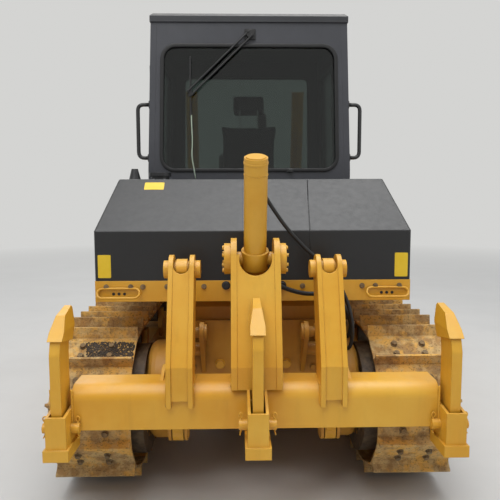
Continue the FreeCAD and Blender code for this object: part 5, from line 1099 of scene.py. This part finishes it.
def shoe_plates(node):
    """(middle, outward normal, direction along the track) of every shoe's flat plate."""
    low, high = corners_of(node)

    def reach_along(face):
        across = OUTWARD.cross(face.normal)
        along = [c.dot(across) for c in face_corners(node, [face])]
        return min(along), max(along)

    def is_plate(face):
        near, far = spans_of(face_corners(node, [face]))[0]
        if abs(face.normal.x) > 0.01 or far - near < high.x - low.x - 0.002:
            return False
        start, end = reach_along(face)
        return PLATE_LENGTHS[0] < end - start < PLATE_LENGTHS[1]

    def same_plate(face):
        return plane_of(face) + (round(reach_along(face)[0], 2),)

    found = []
    for faces in grouped_faces(node, is_plate, same_plate):
        centre = Vector([(a + b) / 2 for a, b in spans_of(face_corners(node, faces))])
        normal = faces[0].normal.copy()
        found.append((centre, normal, OUTWARD.cross(normal).normalized()))
    if len(found) != SHOES:
        raise RuntimeError("%s: %d shoe plates" % (node, len(found)))
    return found


class TrackSizes(bpy.types.PropertyGroup):
    across: FloatProperty(name="Shoe bolt", description="Across the flats of a shoe bolt",
                          default=0.029, unit="LENGTH")
    height: FloatProperty(name="Bolt head", description="Height of a shoe bolt's head",
                          default=0.015, unit="LENGTH")
    spread: FloatProperty(name="Bolt spread", description="From the shoe's middle to its bolts",
                          default=0.085, unit="LENGTH")
    gravel: FloatProperty(name="Gravel", description="Stones to a square metre", default=26000.0)


class TRACKS_OT_fittings(bpy.types.Operator):
    """Bolts of the track shoes and the gravel that lies on one of them"""
    bl_idname = "bulldozer.tracks"
    bl_label = "Track fittings"

    def execute(self, context):
        sizes = context.scene.bulldozer_tracks
        for node in ("track_right", "track_left"):
            centre_x = middle(node).x
            places = [(Vector((centre_x + x, centre.y, centre.z)) + along * row + out * 0.001, out)
                      for centre, out, along in shoe_plates(node)
                      for x in (-sizes.spread, sizes.spread) for row in BOLT_ROWS]
            bolts(node + "_shoe_bolts", places, "chassis", sizes.across, sizes.height, "worn_steel", 21)
        # the upper shoe nearest the camera on the left, covered over its inner two thirds
        centre, out, along = min(shoe_plates("track_left"),
                                 key=lambda plate: plate[0].y + abs(plate[1].z - GRAVEL_TILT) * 2.0)
        inner = middle("track_left").x + SHOE_HALF
        mesh = bpy.data.meshes.new("gravel_patch")
        mesh.from_pydata([Vector((inner + x, centre.y, centre.z)) + along * row + out * 0.002
                          for x, row in GRAVEL_PATCH], [], [(0, 1, 2, 3)])
        stones = {"Density": sizes.gravel, "Smallest": 0.0022, "Largest": 0.0064, "Seed": 4,
                  "Finish": FINISHES["gravel"]}
        grown("track_gravel", mesh, pebble_tree(), stones, "chassis")
        return {"FINISHED"}


class DRIVES_OT_fittings(bpy.types.Operator):
    """Bolt rings of the sprockets, the hub caps and the final drives"""
    bl_idname = "bulldozer.drives"
    bl_label = "Drive bolts"

    def execute(self, context):
        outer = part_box("sprockets")[1][0]
        # radius of the ring, count, place across, size
        rings = [(radius, count, outer + x, across) for radius, count, x, across in HUB_RINGS]
        rings.append((RIM_RING[0], RIM_RING[1], TRACK_X + RIM_RING[2], RIM_RING[3]))
        for number, (radius, count, x, across) in enumerate(rings):
            places = both_sides(on_circle(count, radius, AXLE.y, AXLE.z, x + 0.001))
            name = "sprocket_bolts_%d" % (number + 1)
            bolts(name, places, "chassis", across, across * 0.45, "cast", 30 + number)
        rim = on_circle(CASE_BOLTS, CASE_RADIUS, AXLE.y, AXLE.z, CASE_X, 5, math.radians(20))
        bolts("drive_case_bolts", both_sides(rim), "chassis", 0.026, 0.012, "yellow_dusty_shaded", 40)
        return {"FINISHED"}


# ---- Ripper ----

RIPPER_EYE = (-0.470, 1.467)
BEAM_TOP, BEAM_FRONT, BEAM_REAR = 0.847, -0.560, -0.730
COLUMN_SIDES = (-0.461, -0.325, 0.325, 0.461)
POCKET_SIDES = (-1.045, -0.939, 0.939, 1.045)
# x, rear and foot of each shank pocket
POCKETS = ((-0.992, -0.846, 0.508), (0.0, -0.955, 0.560), (0.992, -0.846, 0.508))
SHANK_PIN = (0.083, 0.100, 0.130)     # end of a pocket's pin, from the pocket's middle, rear and foot
PLATE_FACE = -0.101


class RipperSizes(bpy.types.PropertyGroup):
    bead: FloatProperty(name="Weld bead", description="Radius of the weld beads",
                        default=0.006, unit="LENGTH")
    cotter: FloatProperty(name="Cotter", description="Radius of the shank pins' cotters",
                          default=0.005, unit="LENGTH")


def wobbling(start, end, seed):
    """Points of a hand-laid weld between two ends, swelling a little as a torch does."""
    count = max(4, int((end - start).length / 0.012))
    across = (end - start).orthogonal().normalized() * 0.0012
    return [start.lerp(end, k / count) + across * math.sin(k * 2.4 + seed) for k in range(count + 1)]


def welds(radius):
    """Beads of the columns on the beam's top and rear, and of the outer pockets on its rear."""
    lines = [((x, BEAM_REAR, BEAM_TOP), (x, BEAM_FRONT, BEAM_TOP), 11)
             for x in COLUMN_SIDES + (-0.131, 0.131)]
    lines += [((x, -0.737, 0.845), (x, -0.738, 0.740), 9) for x in COLUMN_SIDES]
    lines += [((x, -0.738, 0.835), (x, -0.738, 0.625), 13) for x in POCKET_SIDES]
    shell = bmesh.new()
    for start, end, seed in lines:
        add_tube(shell, wobbling(from_axle(*start), from_axle(*end), seed), radius, 7)
    return shell


def cotters(radius):
    """Split pins through both ends of each shank pin: a shaft, a loop above and two bent legs below."""
    shell = bmesh.new()
    for x, rear, foot in POCKETS:
        for side in (-1, 1):
            def at(out, along, up):
                return from_axle(x + side * (SHANK_PIN[0] + out), rear + SHANK_PIN[1] + along,
                                 foot + SHANK_PIN[2] + up)

            add_rod(shell, at(0, 0, 0.031), at(0, 0, -0.034), radius, 8)
            loop = ((0, 0.030), (0.010, 0.048), (0, 0.062), (-0.010, 0.048), (0, 0.032))
            add_tube(shell, curve_through([at(out, 0, up) for out, up in loop], 4), radius * 0.7, 7)
            for leg in (-1, 1):
                bent = [at(0, 0, -0.031), at(0.003, leg * 0.006, -0.040), at(0.004, leg * 0.018, -0.044)]
                add_tube(shell, curve_through(bent, 4), radius * 0.7, 7)
    return shell


class RIPPER_OT_fittings(bpy.types.Operator):
    """Weld beads, cotters and trunnion bolts of the ripper frame, and the case plate's bolts"""
    bl_idname = "bulldozer.ripper"
    bl_label = "Ripper fittings"

    def execute(self, context):
        sizes = context.scene.bulldozer_ripper
        piece("ripper_welds", welds(sizes.bead), "yellow", "ripper_frame", 0.0, True)
        piece("shank_cotters", cotters(sizes.cotter), "yellow", "ripper_frame", 0.0, True)
        places = [(side * 0.372, 0.430 + 0.105 * k) for side in (-1, 1) for k in range(6)]
        places += [(x, 0.412) for x in (-0.25, -0.12, 0.0, 0.12, 0.25)]
        small = [(from_axle(x, PLATE_FACE, z), REARWARD) for x, z in places]
        bolts("case_plate_bolts", small, "chassis", 0.030, 0.016, "yellow_dusty_shaded", 51)
        large = [(from_axle(x, PLATE_FACE, 0.766), REARWARD) for x in (-0.206, 0.206)]
        bolts("case_plate_bolts_large", large, "chassis", 0.046, 0.022, "yellow", 52)
        caps = on_circle(8, 0.066, RIPPER_EYE[0] + AXLE.y, RIPPER_EYE[1], 0.1675)
        bolts("trunnion_bolts", both_sides(caps), "ripper_frame", 0.017, 0.009, "yellow", 50)
        return {"FINISHED"}


# ---- Cylinders and hoses ----

RIPPER_LEAN = math.radians(20)
# distance along the barrel, outer and inner radius, width
RIPPER_BANDS = ((-0.540, 0.0635, 0.060, 0.012), (-0.480, 0.063, 0.060, 0.006), (0.186, 0.068, 0.060, 0.030),
                (0.204, 0.050, 0.0355, 0.010))
LIFT_BANDS = ((-1.186, 0.071, 0.067, 0.020), (0.222, 0.074, 0.067, 0.034), (0.245, 0.056, 0.0365, 0.010))
# two ends across, along and up, radius, sides: at the case a nut and then the pressed sleeve
CASE_SLEEVES = ((0.400, 0.422, 0.0, 0.975, 0.019, 6), (0.422, 0.452, 0.0, 0.975, 0.0145, 20),
                (0.400, 0.424, 0.040, 1.030, 0.022, 6), (0.424, 0.458, 0.040, 1.030, 0.0165, 20))
CYLINDER_SLEEVES = (((0.0, -0.490, 1.835), (0.010, -0.424, 1.856), 0.0145),
                    ((0.075, -0.335, 1.330), (0.122, -0.318, 1.302), 0.0165))
LIFT_X, LIFT_TOP, LIFT_EYE = 0.610, (3.330, 1.800), (3.560, 0.560)
# feed pipe of a lift cylinder: down the barrel, and out from its axis
FEED_PIPE = ((0.060, 0.066), (0.040, 0.086), (-0.020, 0.0875), (-1.080, 0.0875), (-1.125, 0.084),
             (-1.140, 0.064))
PIPE_CLAMPS = (0.300, 0.700, 1.050)
PIPE_RADIUS = 0.0095


class HYDRAULICS_OT_fittings(bpy.types.Operator):
    """Glands, clamps, pipes and end fittings of the cylinders and hoses"""
    bl_idname = "bulldozer.hydraulics"
    bl_label = "Cylinder and hose fittings"

    def execute(self, context):
        pivot = from_axle(0, *RIPPER_EYE)
        along = Vector((0, math.sin(RIPPER_LEAN), -math.cos(RIPPER_LEAN)))
        shell = bmesh.new()
        for reach, radius, inner, width in RIPPER_BANDS:
            add_band(shell, pivot + along * reach, radius, inner, width, along)
        add_rod(shell, pivot - along * 0.564, pivot - along * 0.574, 0.052, 36)
        piece("ripper_cylinder_bands", shell, "yellow", "ripper_barrel", 0.002)

        shell = bmesh.new()
        for x0, x1, y, z, radius, sides in CASE_SLEEVES:
            add_rod(shell, from_axle(x0, y, z), from_axle(x1, y, z), radius, sides)
        piece("hose_sleeves_case", shell, "zinc", "chassis", 0.0015)

        shell = bmesh.new()
        for start, end, radius in CYLINDER_SLEEVES:
            start, end = from_axle(*start), from_axle(*end)
            way = (end - start).normalized()
            add_rod(shell, start - way * 0.0008, start + way * 0.034, radius, 20)
        piece("hose_sleeves_cylinder", shell, "zinc", "chassis", 0.0015)

        for side, hand in SIDES:
            top, eye = (from_axle(side * LIFT_X, *place) for place in (LIFT_TOP, LIFT_EYE))
            down = (eye - top).normalized()
            back = Vector((0, down.z, -down.y))
            shell = bmesh.new()
            for reach, radius, inner, width in LIFT_BANDS:
                add_band(shell, top + down * reach, radius, inner, width, down)
            piece("lift_cylinder_bands_" + hand, shell, "yellow", "lift_barrels", 0.001)

            shell = bmesh.new()
            add_tube(shell, [top + down * reach + back * out for reach, out in FEED_PIPE], PIPE_RADIUS, 10)
            for reach in PIPE_CLAMPS:
                at = top - down * reach
                add_band(shell, at, 0.0705, 0.067, 0.022, down)
                add_rod(shell, at + back * 0.060, at + back * 0.099, 0.0125, 12)
            piece("lift_cylinder_pipe_" + hand, shell, "yellow", "lift_barrels")
        return {"FINISHED"}


# ---- Blade and front ----

EDGE_BOLTS = 14
EDGE_MARGIN = 0.10
EDGE_ROWS = (-0.035, 0.035)
FIN_PITCH = 0.012
LENS_X, LENS_FACE, LENS_Z = 0.390, 3.245, 1.975
LENS_RADIUS = 0.0595
LENS_RIM = 0.002
LENS_DOME = 0.0065
CATCH_X, CATCH_YS, CATCH_Z = 0.398, (2.150, 2.980), 1.560
CATCH_HALF = (0.006, 0.020, 0.030)


def widest_face(node, direction):
    """Middle, normal and width of the largest flat face of a node that looks in a direction."""
    groups = grouped_faces(node, lambda face: face.normal.dot(direction) >= 0.5, plane_of)
    best = max(groups, key=lambda faces: sum(face.area for face in faces))
    spans = spans_of(face_corners(node, best))
    return Vector([(a + b) / 2 for a, b in spans]), best[0].normal.copy(), spans[0][1] - spans[0][0]


def radiator_core():
    """Block of thin fins behind the grille."""
    low, high = corners_of("grille")
    y = low.y
    shell = bmesh.new()
    add_box(shell, low + Vector((0.004, -0.0002, 0.004)), Vector((high.x - 0.004, y + 0.012, high.z - 0.004)))
    for k in range(int((high.z - low.z - 0.04) / FIN_PITCH)):
        z = low.z + 0.02 + k * FIN_PITCH
        add_box(shell, Vector((low.x + 0.006, y + 0.010, z)), Vector((high.x - 0.006, y + 0.016, z + 0.003)))
    return shell


class FRONT_OT_fittings(bpy.types.Operator):
    """Cutting-edge bolts, radiator core, bonnet catches and lamp lenses"""
    bl_idname = "bulldozer.front"
    bl_label = "Blade and front fittings"

    def execute(self, context):
        centre, out, width = widest_face("cutting_edges", -REARWARD)
        along = out.cross(OUTWARD).normalized()
        span = width - EDGE_MARGIN
        across = [(k + 0.5) / EDGE_BOLTS * span - span / 2 for k in range(EDGE_BOLTS)]
        edge = [(Vector((x, centre.y, centre.z)) + along * row + out * 0.001, out)
                for x in across for row in EDGE_ROWS]
        bolts("edge_bolts", edge, "blade", 0.034, 0.010, "edge_steel", 60)
        piece("radiator_core", radiator_core(), "black", "chassis")

        # shallow glass domes on a straight rim
        turns = [math.radians(angle) for angle in (0, 18, 36, 54, 72, 84)]
        profile = [(0.0, LENS_RADIUS)]
        profile += [(LENS_RIM + LENS_DOME * math.sin(a), LENS_RADIUS * math.cos(a)) for a in turns]
        shell = bmesh.new()
        for x in (-LENS_X, LENS_X):
            add_loft(shell, [circle(from_axle(x, LENS_FACE + reach, LENS_Z), radius, OUTWARD, UPWARD, 40)
                             for reach, radius in profile])
        piece("lamp_lenses", shell, "lens", "chassis", 0.002)

        shell = bmesh.new()
        half = Vector(CATCH_HALF)
        for side in (-1, 1):
            for y in CATCH_YS:
                at = from_axle(side * CATCH_X, y, CATCH_Z)
                add_box(shell, at - half, at + half)
                add_rod(shell, at + OUTWARD * side * 0.004, at + OUTWARD * side * 0.018, 0.013, 16)
        piece("bonnet_catches", shell, "black", "chassis", 0.002)
        return {"FINISHED"}


# ---- Panel and run ----

PROPERTY_GROUPS = (
    (StageSizes, "bulldozer_stage"),
    (FinishColours, "bulldozer_colours"),
    (WindowSizes, "bulldozer_windows"),
    (WiperSizes, "bulldozer_wiper"),
    (SeatSizes, "bulldozer_seat"),
    (TankSizes, "bulldozer_tank"),
    (TrackSizes, "bulldozer_tracks"),
    (RipperSizes, "bulldozer_ripper"),
)
OPERATORS = (
    STAGE_OT_build,
    FINISH_OT_apply,
    WINDOWS_OT_build,
    WIPER_OT_build,
    CAB_OT_fittings,
    SEAT_OT_build,
    TANK_OT_fittings,
    TRACKS_OT_fittings,
    DRIVES_OT_fittings,
    RIPPER_OT_fittings,
    HYDRAULICS_OT_fittings,
    FRONT_OT_fittings,
)


class BULLDOZER_PT_panel(bpy.types.Panel):
    bl_label = "Bulldozer"
    bl_space_type = "VIEW_3D"
    bl_region_type = "UI"
    bl_category = "Bulldozer"

    def draw(self, context):
        for group_type, name in PROPERTY_GROUPS:
            box = self.layout.box()
            for key in group_type.__annotations__:
                box.prop(getattr(context.scene, name), key)
        for operator in OPERATORS:
            self.layout.operator(operator.bl_idname)


def register():
    for group_type, name in PROPERTY_GROUPS:
        bpy.utils.register_class(group_type)
        setattr(bpy.types.Scene, name, bpy.props.PointerProperty(type=group_type))
    for kind in OPERATORS + (BULLDOZER_PT_panel,):
        bpy.utils.register_class(kind)


def unregister():
    for kind in reversed(OPERATORS + (BULLDOZER_PT_panel,)):
        bpy.utils.unregister_class(kind)
    for group_type, name in reversed(PROPERTY_GROUPS):
        delattr(bpy.types.Scene, name)
        bpy.utils.unregister_class(group_type)


def main():
    register()
    for operator in OPERATORS:
        getattr(bpy.ops.bulldozer, operator.bl_idname.split(".")[1])()


if __name__ == "__main__":
    main()
